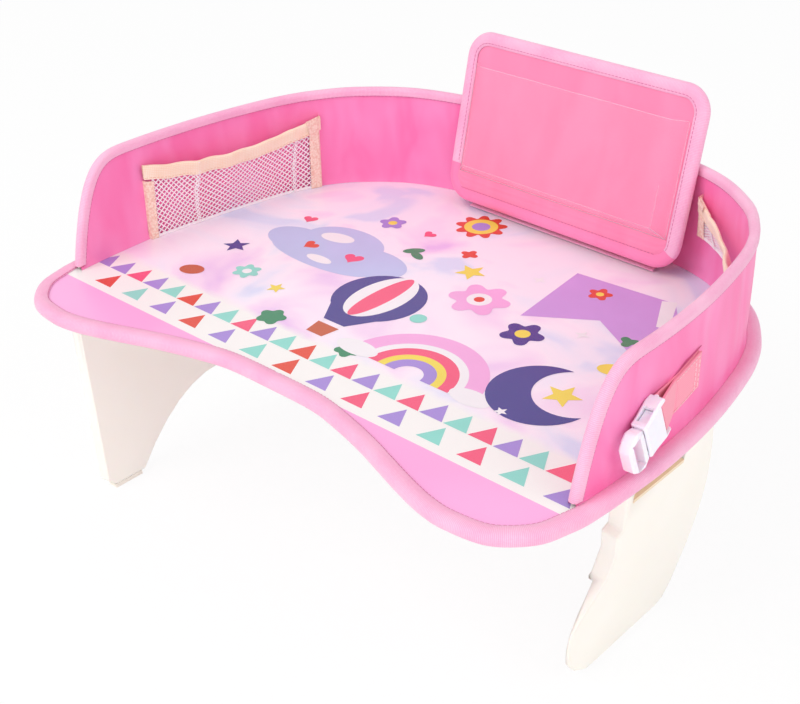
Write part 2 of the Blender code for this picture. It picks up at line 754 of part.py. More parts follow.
def on_holder(x, y, out):
    return HOLDER_FOOT + HOLDER_ACROSS * x + HOLDER_UP * y + HOLDER_FRONT * out


def holder_plate(name, out_low, out_high, material, pivot):
    ring = rounded_rectangle(
        HOLDER_WIDTH - 2 * HOLDER_INSET, HOLDER_HEIGHT - 2 * HOLDER_INSET,
        HOLDER_CORNER_RADIUS - HOLDER_INSET, HOLDER_CORNER_STEPS,
    )
    low = [on_holder(x, y + HOLDER_INSET, out_low) for x, y in ring]
    high = [on_holder(x, y + HOLDER_INSET, out_high) for x, y in ring]
    return new_object(name, prism(low, high), material, HOLDER_FOOT, pivot)


def build_holder():
    pivot = pivot_empty("holder_pivot", HOLDER_FOOT)
    board = HOLDER_BOARD_THICKNESS / 2
    sheet_low = board + LAYER_GAP
    sheet_high = sheet_low + HOLDER_SHEET_THICKNESS
    holder_plate("holder_board", -board, board, STIFF_BOARD, pivot)
    holder_plate("holder_front_panel", sheet_low, sheet_high, PINK_LEATHER, pivot)
    holder_plate("holder_back_panel", -sheet_high, -sheet_low, PINK_LEATHER, pivot)

    ring = rounded_rectangle(
        HOLDER_WIDTH - 2 * HOLDER_INSET, HOLDER_HEIGHT - 2 * HOLDER_INSET,
        HOLDER_CORNER_RADIUS - HOLDER_INSET, HOLDER_CORNER_STEPS,
    )
    section = tape_section(
        sheet_high + TAPE_INNER_GAP, HOLDER_TAPE_WIDTH - HOLDER_INSET, TAPE_THICKNESS,
        HOLDER_TAPE_ROUNDING,
    )
    flat = [Vector((x, y + HOLDER_INSET, 0.0)) for x, y in ring]
    sections = []
    for point, normal in zip(flat, outward_normals(flat)):
        sections.append([
            on_holder(point.x + normal.x * out, point.y + normal.y * out, across)
            for across, out in section
        ])
    new_object("holder_binding", swept(sections, True), BINDING_TAPE, HOLDER_FOOT, pivot)

    lip_low = sheet_high + LAYER_GAP
    lip_foot = HOLDER_TAPE_WIDTH + LAYER_GAP
    lip_half = HOLDER_WIDTH / 2 - HOLDER_CORNER_RADIUS
    rows = [
        [
            [on_holder(x, y, out) for x in (-lip_half, 0.0, lip_half)]
            for y in (lip_foot, lip_foot + LIP_HEIGHT)
        ]
        for out in (lip_low, lip_low + LIP_THICKNESS)
    ]
    new_object("holder_lower_lip", sheet(rows[0], rows[1]), PINK_LEATHER, HOLDER_FOOT, pivot)

    left = -HOLDER_WIDTH / 2 + WINDOW_LEFT_MARGIN
    right = HOLDER_WIDTH / 2 - WINDOW_RIGHT_MARGIN
    foot = lip_foot + LIP_HEIGHT + LAYER_GAP + WINDOW_FLANGE
    top = HOLDER_HEIGHT - WINDOW_TOP_MARGIN
    skin = WINDOW_THICKNESS
    outer_x = (left - WINDOW_FLANGE, left, left + WINDOW_FOLD, right - WINDOW_FOLD, right,
               right + WINDOW_FLANGE)
    inner_x = (left - WINDOW_FLANGE, left + skin, left + WINDOW_FOLD + skin,
               right - WINDOW_FOLD - skin, right - skin, right + WINDOW_FLANGE)
    outer_y = (foot - WINDOW_FLANGE, foot, foot + WINDOW_FOLD, top)
    inner_y = (foot - WINDOW_FLANGE, foot + skin, foot + WINDOW_FOLD + skin, top)

    def window_rows(columns, rows_up, extra):
        return [
            [
                on_holder(
                    x, y, lip_low + extra + (WINDOW_DEPTH if r >= 2 and 2 <= c <= 3 else 0.0)
                )
                for c, x in enumerate(columns)
            ]
            for r, y in enumerate(rows_up)
        ]

    window = sheet(window_rows(inner_x, inner_y, 0.0), window_rows(outer_x, outer_y, skin))
    new_object("holder_window", window, CLEAR_FILM, HOLDER_FOOT, pivot)

    foot_low = FILM_TOP + LAYER_GAP
    half = HOLDER_WIDTH / 2 - HOLDER_CORNER_RADIUS
    back = Vector((-HOLDER_ACROSS.y, HOLDER_ACROSS.x, 0.0))
    near = FOOT_TAPE_SETBACK - FOOT_TAPE_DEPTH / 2
    far = near + FOOT_TAPE_DEPTH
    corners = [
        HOLDER_FOOT + HOLDER_ACROSS * x + back * y
        for x, y in ((-half, near), (half, near), (half, far), (-half, far))
    ]
    tape = prism(raised(corners, foot_low), raised(corners, foot_low + FOOT_TAPE_THICKNESS))
    new_object("holder_foot_tape", tape, BINDING_TAPE)


def strap_place(side, from_lobe, outward, height):
    """A point beside the rim's outer face. Its first distance is from the front lobes."""
    distance = side_distance(side, from_lobe - RIM_FRONT_FROM_LOBE)
    return rim_point(distance, RIM_HALF + outward, FILM_TOP + height)


def strap_parts(side, word):
    """Webbing: a tab sewn flat to the rim, and the loop that holds the buckle's bar."""
    rear = STRAP_END_FROM_LOBE
    front = rear - STRAP_TAB_LENGTH
    low = STRAP_CENTRE_HEIGHT - STRAP_WIDTH / 2
    corners = ((front, low), (rear, low), (rear, low + STRAP_WIDTH), (front, low + STRAP_WIDTH))
    rings = [
        [strap_place(side, from_lobe, out, height) for from_lobe, height in corners]
        for out in (LAYER_GAP, LAYER_GAP + STRAP_THICKNESS)
    ]
    tab = new_object(word + "_strap", prism(rings[0], rings[1]), PINK_WEBBING)

    bar = buckle_bar(side)
    along, across, out = buckle_axes(side, 0.0)
    tail = -STRAP_LOOP_LENGTH
    tail_out = LAYER_GAP + STRAP_THICKNESS * STRAP_TAIL_SHARE - BUCKLE_BACK_OFFSET

    def teardrop(radius, back, low_out, high_out):
        profile = [(back, low_out)]
        for i in range(STRAP_ARC_STEPS + 1):
            angle = (180.0 * i / STRAP_ARC_STEPS - 90.0) * degree
            profile.append((radius * math.cos(angle), radius * math.sin(angle)))
        return profile + [(back, high_out)]

    def loop_solid(profile, half_width):
        return prism(*[
            [bar + along * s + out * t + across * w for s, t in profile]
            for w in (-half_width, half_width)
        ])

    inner_radius = BUCKLE_BAR_RADIUS + FIT_GAP
    outer_radius = inner_radius + STRAP_THICKNESS
    band = loop_solid(
        teardrop(outer_radius, tail, tail_out, tail_out + 2 * STRAP_THICKNESS), STRAP_WIDTH / 2
    )
    eye_tail = tail * STRAP_EYE_SHARE
    eye_out = lerp(0.0, tail_out + STRAP_THICKNESS, STRAP_EYE_SHARE)
    eye = loop_solid(
        teardrop(inner_radius, eye_tail, eye_out, eye_out + LAYER_GAP),
        STRAP_WIDTH / 2 + CUT_OVERRUN,
    )
    boolean(tab, "UNION", helper(word + "_strap_loop_shape", band))
    boolean(tab, "DIFFERENCE", helper(word + "_strap_eye_cut", eye))


def buckle_bar(side):
    return strap_place(side, BUCKLE_FROM_LOBE, BUCKLE_BACK_OFFSET, BUCKLE_HEIGHT)


def buckle_axes(side, swing):
    """Along the buckle, across it and out of the rim, right-handed for either side."""
    down = Vector((0.0, -math.cos(BUCKLE_DROOP), -math.sin(BUCKLE_DROOP)))
    out = Vector((float(side), 0.0, 0.0))
    along = down * math.cos(swing) + out * math.sin(swing)
    outward = out * math.cos(swing) - down * math.sin(swing)
    return along, outward.cross(along), outward


def buckle_box(side, bar, s0, s1, w0, w1, t0, t1):
    along, across, out = buckle_axes(side, BUCKLE_SWING_OUT)

    def ring(s):
        return [
            bar + along * s + across * w + out * t
            for w, t in ((w0, t0), (w1, t0), (w1, t1), (w0, t1))
        ]

    return prism(ring(s0), ring(s1))


def buckle_outline(side, bar, profile, t_low, t_high):
    """Solid whose outline is (along, half width) pairs, symmetric about the buckle's axis."""
    along, across, out = buckle_axes(side, BUCKLE_SWING_OUT)
    points = [(s, w) for s, w in profile] + [(s, -w) for s, w in reversed(profile)]
    low = [bar + along * s + across * w + out * t_low for s, w in points]
    high = [bar + along * s + across * w + out * t_high for s, w in points]
    return prism(low, high)


def bevel(obj, width):
    modifier = obj.modifiers.new("Moulded edges", "BEVEL")
    modifier.width = width
    modifier.segments = 1
    modifier.limit_method = "ANGLE"
    modifier.angle_limit = 40 * degree


def build_buckle(side, word):
    bar = buckle_bar(side)
    pivot = pivot_empty(word + "_buckle_pivot", bar)
    along, across, _ = buckle_axes(side, BUCKLE_SWING_OUT)
    half_w = BUCKLE_WIDTH / 2
    half_t = BUCKLE_THICKNESS / 2
    eye = BUCKLE_EYE_LENGTH
    mouth = eye + BUCKLE_BODY_LENGTH
    waist = half_w * BUCKLE_WAIST_SHARE
    head = eye - BUCKLE_WALL

    body = new_object(
        word + "_buckle_socket",
        buckle_outline(
            side, bar,
            ((-BUCKLE_BAR_RADIUS, half_w - BUCKLE_CHAMFER), (head, half_w), (mouth - eye, waist),
             (mouth - BUCKLE_WALL, waist), (mouth, half_w - BUCKLE_CHAMFER)),
            -half_t, half_t,
        ),
        WHITE_NYLON, bar, pivot,
    )
    bevel(body, BUCKLE_CHAMFER)
    strap_gap = STRAP_WIDTH / 2 + FIT_GAP
    eye_cut = buckle_box(
        side, bar, -BUCKLE_BAR_RADIUS - CUT_OVERRUN, head, -strap_gap, strap_gap,
        -half_t - CUT_OVERRUN, half_t + CUT_OVERRUN,
    )
    cavity_half = waist - BUCKLE_WALL
    cavity = buckle_box(
        side, bar, eye + BUCKLE_WALL / 2, mouth + CUT_OVERRUN, -cavity_half, cavity_half,
        -half_t + BUCKLE_WALL, half_t - BUCKLE_WALL,
    )
    side_end = mouth - BUCKLE_WALL * 2
    side_cut = buckle_box(
        side, bar, side_end - BUCKLE_SIDE_OPENING_LENGTH, side_end, -half_w - CUT_OVERRUN,
        half_w + CUT_OVERRUN, -half_t + BUCKLE_WALL, half_t - BUCKLE_WALL,
    )
    for label, built in (("eye", eye_cut), ("cavity", cavity), ("sides", side_cut)):
        boolean(body, "DIFFERENCE", helper(f"{word}_socket_{label}_cut", built))
    bar_reach = strap_gap + BUCKLE_WALL
    bar_shape = rod(bar - across * bar_reach, bar + across * bar_reach, BUCKLE_BAR_RADIUS,
                    SMALL_ROUND_SIDES)
    boolean(body, "UNION", helper(word + "_socket_bar_shape", bar_shape))

    plate_start = mouth + FIT_GAP
    plate_end = plate_start + BUCKLE_PLATE_LENGTH
    shoulder = plate_end - BUCKLE_PLATE_LENGTH * BUCKLE_SHOULDER_SHARE
    plate_half = BUCKLE_PLATE_THICKNESS / 2
    clip = new_object(
        word + "_buckle_clip",
        buckle_outline(
            side, bar,
            ((plate_start, waist - BUCKLE_CHAMFER), (shoulder, half_w),
             (plate_end - BUCKLE_CHAMFER * 3, half_w - BUCKLE_CHAMFER * 2),
             (plate_end, half_w - BUCKLE_CHAMFER * 5)),
            -plate_half, plate_half,
        ),
        WHITE_NYLON, bar, pivot,
    )
    bevel(clip, BUCKLE_CHAMFER)
    slot_end = plate_end - BUCKLE_SLOT_MARGIN
    slot = buckle_box(
        side, bar, slot_end - BUCKLE_SLOT_LENGTH, slot_end, -half_w + BUCKLE_SIDE_BAR,
        half_w - BUCKLE_SIDE_BAR, -plate_half - CUT_OVERRUN, plate_half + CUT_OVERRUN,
    )
    boolean(clip, "DIFFERENCE", helper(word + "_clip_slot_cut", slot))
    prong_half = half_t - BUCKLE_WALL - FIT_GAP
    root = plate_start + BUCKLE_WALL
    tip = eye + BUCKLE_WALL / 2 + FIT_GAP * 2
    arm_out = cavity_half - FIT_GAP
    arms = merged(
        buckle_box(side, bar, tip, root, -BUCKLE_TONGUE_WIDTH / 2, BUCKLE_TONGUE_WIDTH / 2,
                   -prong_half, prong_half),
        buckle_box(side, bar, tip + BUCKLE_WALL, root, arm_out - BUCKLE_ARM_WIDTH, arm_out,
                   -prong_half, prong_half),
        buckle_box(side, bar, tip + BUCKLE_WALL, root, -arm_out, -arm_out + BUCKLE_ARM_WIDTH,
                   -prong_half, prong_half),
    )
    boolean(clip, "UNION", helper(word + "_clip_prongs_shape", arms))


def leg_point(side, back, drop, out):
    """World point of a leg: back from the front lobes, drop along it, out of its middle."""
    down = Vector((-side * math.sin(LEG_LEAN), 0.0, -math.cos(LEG_LEAN)))
    outward = Vector((side * math.cos(LEG_LEAN), 0.0, -math.sin(LEG_LEAN)))
    pin = Vector((side * PIN_SIDEWAYS, FRONT_Y + back, PIN_HEIGHT))
    return pin + down * drop + outward * out


SOLE_DROP = (
    PIN_HEIGHT - LEG_THICKNESS / 2 * math.sin(LEG_LEAN)
) / math.cos(LEG_LEAN) - LAYER_GAP - PAD_THICKNESS


def left_leg_outline():
    """Arch: straight front edge, two feet, and a smooth opening between them."""
    front = LEFT_FRONT_FROM_LOBE
    rear = front + LEFT_LEG_LENGTH
    toe = front - LEFT_FOOT_FORWARD
    heel = toe + LEFT_FRONT_FOOT_LENGTH
    rear_toe = rear - LEFT_REAR_FOOT_LENGTH
    radius = SOLE_CORNER_RADIUS
    points = [(front, -LEG_TOP_RISE), (toe, SOLE_DROP - radius), (toe + radius, SOLE_DROP),
              (heel, SOLE_DROP)]
    middle = (heel + rear_toe) / 2
    half = (rear_toe - heel) / 2
    for i in range(1, LEFT_ARCH_STEPS):
        share = 2 * i / LEFT_ARCH_STEPS - 1
        points.append((middle + half * share, SOLE_DROP - LEFT_ARCH_HEIGHT * (1 - share**2)))
    points += [(rear_toe, SOLE_DROP), (rear - radius, SOLE_DROP), (rear, SOLE_DROP - radius),
               (rear, LEFT_SHOULDER_DROP), (rear - LEFT_SHOULDER_LENGTH, -LEG_TOP_RISE)]
    return points


def right_leg_outline():
    """Broad foot: stepped front edge, flat sole and a bulging rear edge."""
    front = RIGHT_FRONT_FROM_LOBE
    rear = front + RIGHT_TOP_LENGTH
    radius = SOLE_CORNER_RADIUS
    points = [(front, -LEG_TOP_RISE)]
    for back, drop in RIGHT_FRONT_EDGE_SHARES:
        points.append((front + back * RIGHT_TOP_LENGTH, drop * SOLE_DROP))
    heel = rear + RIGHT_HEEL_REACH
    points += [(heel - RIGHT_HEEL_ROUND, SOLE_DROP), (heel - radius, SOLE_DROP - radius / 2),
               (heel, SOLE_DROP - RIGHT_HEEL_ROUND)]
    for i in range(1, RIGHT_REAR_STEPS):
        share = i / RIGHT_REAR_STEPS
        points.append((
            lerp(heel, rear, share) + RIGHT_REAR_BULGE * math.sin(math.pi * share),
            lerp(SOLE_DROP - RIGHT_HEEL_ROUND, -LEG_TOP_RISE, share),
        ))
    points.append((rear, -LEG_TOP_RISE))
    return points


def build_leg(side, word, outline, notch_start, notch_length, board, bottom_cover):
    pin = Vector((side * PIN_SIDEWAYS, FRONT_Y + notch_start + notch_length / 2, PIN_HEIGHT))
    pivot = pivot_empty(word + "_leg_pivot", pin)
    notch_end = notch_start + notch_length
    half = LEG_THICKNESS / 2
    plate = prism(
        [leg_point(side, back, drop, -half) for back, drop in outline],
        [leg_point(side, back, drop, half) for back, drop in outline],
    )
    leg = new_object(word + "_leg", plate, CREAM_PLASTIC, pin, pivot)
    bevel(leg, LEG_EDGE_ROUNDING)

    def along_pin(back_a, back_b, radius, sides=ROUND_SIDES):
        start = Vector((side * PIN_SIDEWAYS, FRONT_Y + back_a, PIN_HEIGHT))
        end = Vector((side * PIN_SIDEWAYS, FRONT_Y + back_b, PIN_HEIGHT))
        return rod(start, end, radius, sides)

    front_ear = max(notch_start - LEG_EAR_LENGTH, outline[0][0] + LAYER_GAP)
    rear_ear = min(notch_end + LEG_EAR_LENGTH, outline[-1][0] - LAYER_GAP)
    ears = merged(
        along_pin(front_ear, notch_start, LEG_EAR_RADIUS),
        along_pin(notch_end, rear_ear, LEG_EAR_RADIUS),
    )
    boolean(leg, "UNION", helper(word + "_leg_ears_shape", ears))
    notch_ring = [
        (notch_start, -LEG_TOP_RISE - CUT_OVERRUN), (notch_start, LEG_NOTCH_DEPTH),
        (notch_end, LEG_NOTCH_DEPTH), (notch_end, -LEG_TOP_RISE - CUT_OVERRUN),
    ]
    reach = half + CUT_OVERRUN * 2
    notch = prism(
        [leg_point(side, back, drop, -reach) for back, drop in notch_ring],
        [leg_point(side, back, drop, reach) for back, drop in notch_ring],
    )
    boolean(leg, "DIFFERENCE", helper(word + "_leg_notch_cut", notch))
    bore = along_pin(outline[0][0] - CUT_OVERRUN, outline[-1][0] + CUT_OVERRUN,
                     PIN_RADIUS + LAYER_GAP)
    boolean(leg, "DIFFERENCE", helper(word + "_leg_bore_cut", bore))

    pin_front = front_ear - LAYER_GAP
    pin_piece = new_object(
        word + "_hinge_pin",
        along_pin(pin_front, rear_ear + PIN_END_LENGTH, PIN_RADIUS), BARE_STEEL,
    )
    head = along_pin(pin_front - PIN_HEAD_LENGTH, pin_front, PIN_HEAD_RADIUS)
    boolean(pin_piece, "UNION", helper(word + "_pin_head_shape", head))
    if front_ear - LAYER_GAP > outline[0][0]:
        head_room = along_pin(outline[0][0] - CUT_OVERRUN, front_ear, PIN_HEAD_RADIUS + LAYER_GAP)
        boolean(leg, "DIFFERENCE", helper(word + "_pin_head_cut", head_room))
        end_room = along_pin(rear_ear, outline[-1][0] + CUT_OVERRUN, PIN_HEAD_RADIUS)
        boolean(leg, "DIFFERENCE", helper(word + "_pin_end_cut", end_room))

    plate_top = BOTTOM_COVER_BOTTOM - LAYER_GAP
    plate_bottom = plate_top - BRACKET_THICKNESS
    outer_x = TRAY_WIDTH / 2 - BRACKET_OUTER_MARGIN
    inner_x = outer_x - BRACKET_WIDTH
    y0 = FRONT_Y + notch_start - BRACKET_REACH
    y1 = FRONT_Y + notch_end + BRACKET_REACH
    corners = [Vector((side * x, y, 0.0)) for x, y in ((inner_x, y0), (outer_x, y0),
                                                       (outer_x, y1), (inner_x, y1))]
    bracket = new_object(
        word + "_hinge_bracket",
        prism(raised(corners, plate_bottom), raised(corners, plate_top)), TAN_NYLON,
    )
    barrel_front = notch_start + FIT_GAP
    barrel_rear = notch_end - FIT_GAP
    barrel = along_pin(barrel_front, barrel_rear, BRACKET_BARREL_RADIUS)
    web_outer = outer_x - PIN_SIDEWAYS - LAYER_GAP
    web = prism(
        *[
            [
                Vector((side * (PIN_SIDEWAYS + dx), FRONT_Y + y, z))
                for dx, y in (
                    (-BRACKET_BARREL_RADIUS, barrel_front + LAYER_GAP),
                    (web_outer, barrel_front + LAYER_GAP),
                    (web_outer, barrel_rear - LAYER_GAP),
                    (-BRACKET_BARREL_RADIUS, barrel_rear - LAYER_GAP),
                )
            ]
            for z in (PIN_HEIGHT, plate_bottom + BRACKET_THICKNESS / 2)
        ]
    )
    boolean(bracket, "UNION", helper(word + "_bracket_web_shape", web))
    boolean(bracket, "UNION", helper(word + "_bracket_barrel_shape", barrel))
    eye = along_pin(barrel_front - CUT_OVERRUN, barrel_rear + CUT_OVERRUN, PIN_RADIUS + LAYER_GAP)
    boolean(bracket, "DIFFERENCE", helper(word + "_bracket_eye_cut", eye))

    screw_top = BOARD_BOTTOM + SCREW_BITE
    holes = []
    number = 0
    for x in (inner_x + SCREW_EDGE_MARGIN, outer_x - BRACKET_OUTER_SCREW_INSET):
        for y in (y0 + SCREW_EDGE_MARGIN, y1 - SCREW_EDGE_MARGIN):
            number += 1
            foot = Vector((side * x, y, plate_bottom - LAYER_GAP))
            top = Vector((side * x, y, screw_top))
            screw = new_object(
                f"{word}_bracket_screw_{number}",
                rod(foot - Vector((0.0, 0.0, SCREW_HEAD_LENGTH)), foot, SCREW_HEAD_RADIUS,
                    SMALL_ROUND_SIDES),
                BARE_STEEL,
            )
            shank = rod(foot - Vector((0.0, 0.0, SCREW_HEAD_LENGTH / 2)), top, SCREW_RADIUS,
                        SMALL_ROUND_SIDES)
            boolean(screw, "UNION", helper(f"{word}_screw_shank_shape_{number}", shank))
            holes.append(
                rod(foot - Vector((0.0, 0.0, CUT_OVERRUN)),
                    top + Vector((0.0, 0.0, LAYER_GAP)), SCREW_RADIUS + LAYER_GAP,
                    SMALL_ROUND_SIDES)
            )
    screw_cut = helper(word + "_screw_holes_cut", merged(*holes))
    for piece in (bracket, board, bottom_cover):
        boolean(piece, "DIFFERENCE", screw_cut)
    return pin, pivot


def bevel_toe(leg):
    """Cuts a long bevel on the inside of the right-hand toe, under the step in its edge."""
    half = LEG_THICKNESS / 2
    tip = RIGHT_FRONT_FROM_LOBE - TOE_FORWARD
    end = tip + TOE_BEVEL_REACH
    edge = half - TOE_EDGE_THICKNESS
    section = (
        (tip - CUT_OVERRUN, -half - CUT_OVERRUN), (end, -half - CUT_OVERRUN), (end, -half),
        (tip, edge), (tip - CUT_OVERRUN, edge),
    )
    cut = prism(*[
        [leg_point(1, back, drop, out) for back, out in section]
        for drop in (TOE_BEVEL_TOP, SOLE_DROP + CUT_OVERRUN)
    ])
    boolean(leg, "DIFFERENCE", helper("right_toe_bevel_cut", cut))


def build_pad(side, name, start, end, pin, pivot):
    """Soft pad under a sole: its top follows the leaning leg, its bottom is level."""
    half = LEG_THICKNESS / 2 - PAD_MARGIN
    top = SOLE_DROP + LAYER_GAP
    rings = []
    for back in (start, end):
        ring = [leg_point(side, back, top, -half), leg_point(side, back, top, half)]
        for out in (half, -half):
            level = (PIN_HEIGHT - out * math.sin(LEG_LEAN)) / math.cos(LEG_LEAN)
            point = leg_point(side, back, level, out)
            ring.append(Vector((point.x, point.y, 0.0)))
        rings.append(ring)
    new_object(name, prism(rings[0], rings[1]), SOFT_PAD, pin, pivot)


def build_legs(board, bottom_cover):
    pin, pivot = build_leg(-1, "left", left_leg_outline(), LEFT_NOTCH_FROM_LOBE,
                           LEFT_NOTCH_LENGTH, board, bottom_cover)
    toe = LEFT_FRONT_FROM_LOBE - LEFT_FOOT_FORWARD + SOLE_CORNER_RADIUS
    rear = LEFT_FRONT_FROM_LOBE + LEFT_LEG_LENGTH - SOLE_CORNER_RADIUS
    build_pad(-1, "left_front_foot_pad", toe,
              toe + LEFT_FRONT_FOOT_LENGTH - SOLE_CORNER_RADIUS * 1.5, pin, pivot)
    build_pad(-1, "left_rear_foot_pad",
              rear - LEFT_REAR_FOOT_LENGTH + SOLE_CORNER_RADIUS * 1.5, rear, pin, pivot)
    pin, pivot = build_leg(1, "right", right_leg_outline(), RIGHT_NOTCH_FROM_LOBE,
                           RIGHT_NOTCH_LENGTH, board, bottom_cover)
    bevel_toe(bpy.data.objects["right_leg"])
    front = RIGHT_FRONT_FROM_LOBE + TOE_BEVEL_REACH - TOE_FORWARD
    rear = RIGHT_FRONT_FROM_LOBE + RIGHT_TOP_LENGTH + RIGHT_HEEL_REACH - RIGHT_HEEL_ROUND
    build_pad(1, "right_foot_pad", front + LAYER_GAP, rear - LAYER_GAP, pin, pivot)


clear_scene()
HELPER_FINISH = finish("helper", 0.5, 0.5, 0.5, 0.5)
CLEAR_FILM = finish("clear_vinyl", 0.95, 0.93, 0.96, 0.08, alpha=0.3)
PRINTED_COVER = finish("printed_cover", 0.93, 0.62, 0.85, 0.3)
STIFF_BOARD = finish("stiff_board", 0.85, 0.83, 0.78, 0.7)
PINK_CANVAS = finish("pink_canvas", 0.9, 0.45, 0.65, 0.85)
BINDING_TAPE = finish("light_pink_tape", 1.0, 0.48, 0.72, 0.75)
PINK_LEATHER = finish("hot_pink_leather", 1.0, 0.18, 0.45, 0.4)
WHITE_NET = finish("white_net", 0.95, 0.9, 0.88, 0.7)
PEACH_TAPE = finish("peach_tape", 0.97, 0.66, 0.45, 0.8)
PINK_WEBBING = finish("salmon_webbing", 0.97, 0.34, 0.47, 0.8)
WHITE_NYLON = finish("white_acetal", 0.93, 0.9, 0.96, 0.35)
CREAM_PLASTIC = finish("cream_plastic", 0.93, 0.87, 0.77, 0.45)
TAN_NYLON = finish("tan_nylon", 0.78, 0.6, 0.4, 0.5)
SOFT_PAD = finish("soft_pad", 0.83, 0.77, 0.66, 0.8)
BARE_STEEL = finish("bare_steel", 0.6, 0.6, 0.6, 0.35, metallic=1.0)

tray_board, tray_bottom = build_tray()
build_rim()
for SIDE, WORD in ((1, "right"), (-1, "left")):
    build_pocket(SIDE, WORD)
    strap_parts(SIDE, WORD)
    build_buckle(SIDE, WORD)
build_holder()
build_legs(tray_board, tray_bottom)
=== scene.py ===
import bisect
import json
import math
import random

import bmesh
import bpy
from mathutils import Matrix, Vector


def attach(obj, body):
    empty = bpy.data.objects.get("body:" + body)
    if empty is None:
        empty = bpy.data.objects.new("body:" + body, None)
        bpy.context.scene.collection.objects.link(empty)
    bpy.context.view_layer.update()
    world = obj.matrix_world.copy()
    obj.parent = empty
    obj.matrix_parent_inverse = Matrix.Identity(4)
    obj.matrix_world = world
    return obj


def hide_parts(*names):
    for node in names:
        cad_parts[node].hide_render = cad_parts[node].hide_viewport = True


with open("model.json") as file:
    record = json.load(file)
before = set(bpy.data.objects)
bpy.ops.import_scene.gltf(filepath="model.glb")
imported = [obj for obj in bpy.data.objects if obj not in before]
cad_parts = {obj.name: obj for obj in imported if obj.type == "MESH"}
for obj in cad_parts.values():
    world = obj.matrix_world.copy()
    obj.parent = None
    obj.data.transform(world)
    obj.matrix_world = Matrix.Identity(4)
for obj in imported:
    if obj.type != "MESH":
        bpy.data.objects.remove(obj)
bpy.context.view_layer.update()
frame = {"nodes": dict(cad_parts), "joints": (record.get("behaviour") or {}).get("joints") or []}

# Stiffening boards. The tray, the rim and the phone holder are each kept flat or upright by a
# plain board of extruded polypropylene, cut to shape and closed in by the covers, so that only
# its cut edge could ever be seen.
mm = 0.001


def srgb(code):
    """The linear colour of an sRGB hex value."""
    parts = [int(code[i:i + 2], 16) / 255 for i in (1, 3, 5)]
    return (*[p / 12.92 if p <= 0.04045 else ((p + 0.055) / 1.055) ** 2.4 for p in parts], 1.0)


def add(tree, kind, inputs=None, **settings):
    """Adds a node with its settings. An input is a value, or the socket that feeds it."""
    node = tree.nodes.new("ShaderNode" + kind)
    for name, value in settings.items():
        setattr(node, name, value)
    for name, value in (inputs or {}).items():
        if isinstance(value, bpy.types.NodeSocket):
            tree.links.new(value, node.inputs[name])
        else:
            node.inputs[name].default_value = value
    return node


def finish(name, colour, roughness, **sockets):
    """A material with its constants on the shader's own sockets, with its node tree, its shader
    and the socket of the places on the object, ready for its pattern."""
    material = bpy.data.materials.new(name)
    material.use_nodes = True
    tree = material.node_tree
    shader = tree.nodes["Principled BSDF"]
    shader.inputs["Base Color"].default_value = srgb(colour)
    shader.inputs["Roughness"].default_value = roughness
    for socket, value in sockets.items():
        shader.inputs[socket.replace("_", " ")].default_value = value
    return material, tree, shader, add(tree, "TexCoord").outputs["Object"]


def lay_on(tree, shader, height, strength, depth, level=None, dark=None, light=None):
    """Gives the shader a relief, and a colour that a level moves from a dark to a light shade."""
    if level:
        tint = add(tree, "Mix", {0: level, 6: srgb(dark), 7: srgb(light)}, data_type="RGBA")
        tree.links.new(tint.outputs[2], shader.inputs["Base Color"])
    bump = add(tree, "Bump", {"Height": height, "Strength": strength, "Distance": depth})
    tree.links.new(bump.outputs["Normal"], shader.inputs["Normal"])


# Extruded polypropylene: milky and waxy, with faint lines along the run of the extruder.
# A wave pattern's scale is WAVE_SCALE divided by the distance between its bands.
EXTRUSION_LINE = 3 * mm
WAVE_SCALE = 0.314
extruded_board, tree, shader, here = finish("extruded_polypropylene", "#E9E6DC", 0.45, IOR=1.49)
lines = add(tree, "TexWave", {"Vector": here, "Distortion": 0.4,
                              "Scale": WAVE_SCALE / EXTRUSION_LINE}, bands_direction="X")
lay_on(tree, shader, lines.outputs["Fac"], 0.15, 0.1 * mm)
for node in ("tray_board", "rim_core", "holder_board"):
    cad = frame["nodes"][node]
    cad.data.materials.clear()
    cad.data.materials.append(extruded_board)

# Tray lining. The underside is closed by a plain-woven polyester cloth, glued to the board and
# caught in the edge binding all round.
TRAY_WIDTH = 400 * mm
TRAY_DEPTH = 308 * mm
FRONT_Y = -TRAY_DEPTH / 2
LINING_HEIGHT = 140.2 * mm
LAYER_INSET = 1.6 * mm
EDGE_SHARES = (
    (0.0, 0.103), (0.16, 0.101), (0.27, 0.087), (0.388, 0.065), (0.49, 0.041), (0.59, 0.018),
    (0.67, 0.004), (0.745, 0.0), (0.855, 0.013), (0.938, 0.06), (0.97, 0.112), (0.988, 0.174),
    (1.0, 0.33), (0.99, 0.473), (0.962, 0.6), (0.924, 0.703), (0.868, 0.783), (0.77, 0.866),
    (0.585, 0.947), (0.305, 0.989), (0.0, 1.0),
)


def smooth_loop(points, steps):
    """Closed Catmull-Rom curve through the points."""
    curve = []
    for i in range(len(points)):
        p0, p1, p2, p3 = (points[(i + k - 1) % len(points)] for k in range(4))
        for k in range(steps):
            t = k / steps
            curve.append(0.5 * (2 * p1 + (p2 - p0) * t + (2 * p0 - 5 * p1 + 4 * p2 - p3) * t**2
                                + (3 * p1 - p0 - 3 * p2 + p3) * t**3))
    return curve


right_half = [Vector((x * TRAY_WIDTH / 2, FRONT_Y + y * TRAY_DEPTH, 0.0)) for x, y in EDGE_SHARES]
left_half = [Vector((-p.x, p.y, 0.0)) for p in reversed(right_half[1:-1])]
TRAY_EDGE = smooth_loop(right_half + left_half, 12)


def outward_of(loop):
    """Outward normals of an anticlockwise loop."""
    normals = []
    for i in range(len(loop)):
        step = (loop[(i + 1) % len(loop)] - loop[i - 1]).normalized()
        normals.append(Vector((step.y, -step.x, 0.0)))
    return normals


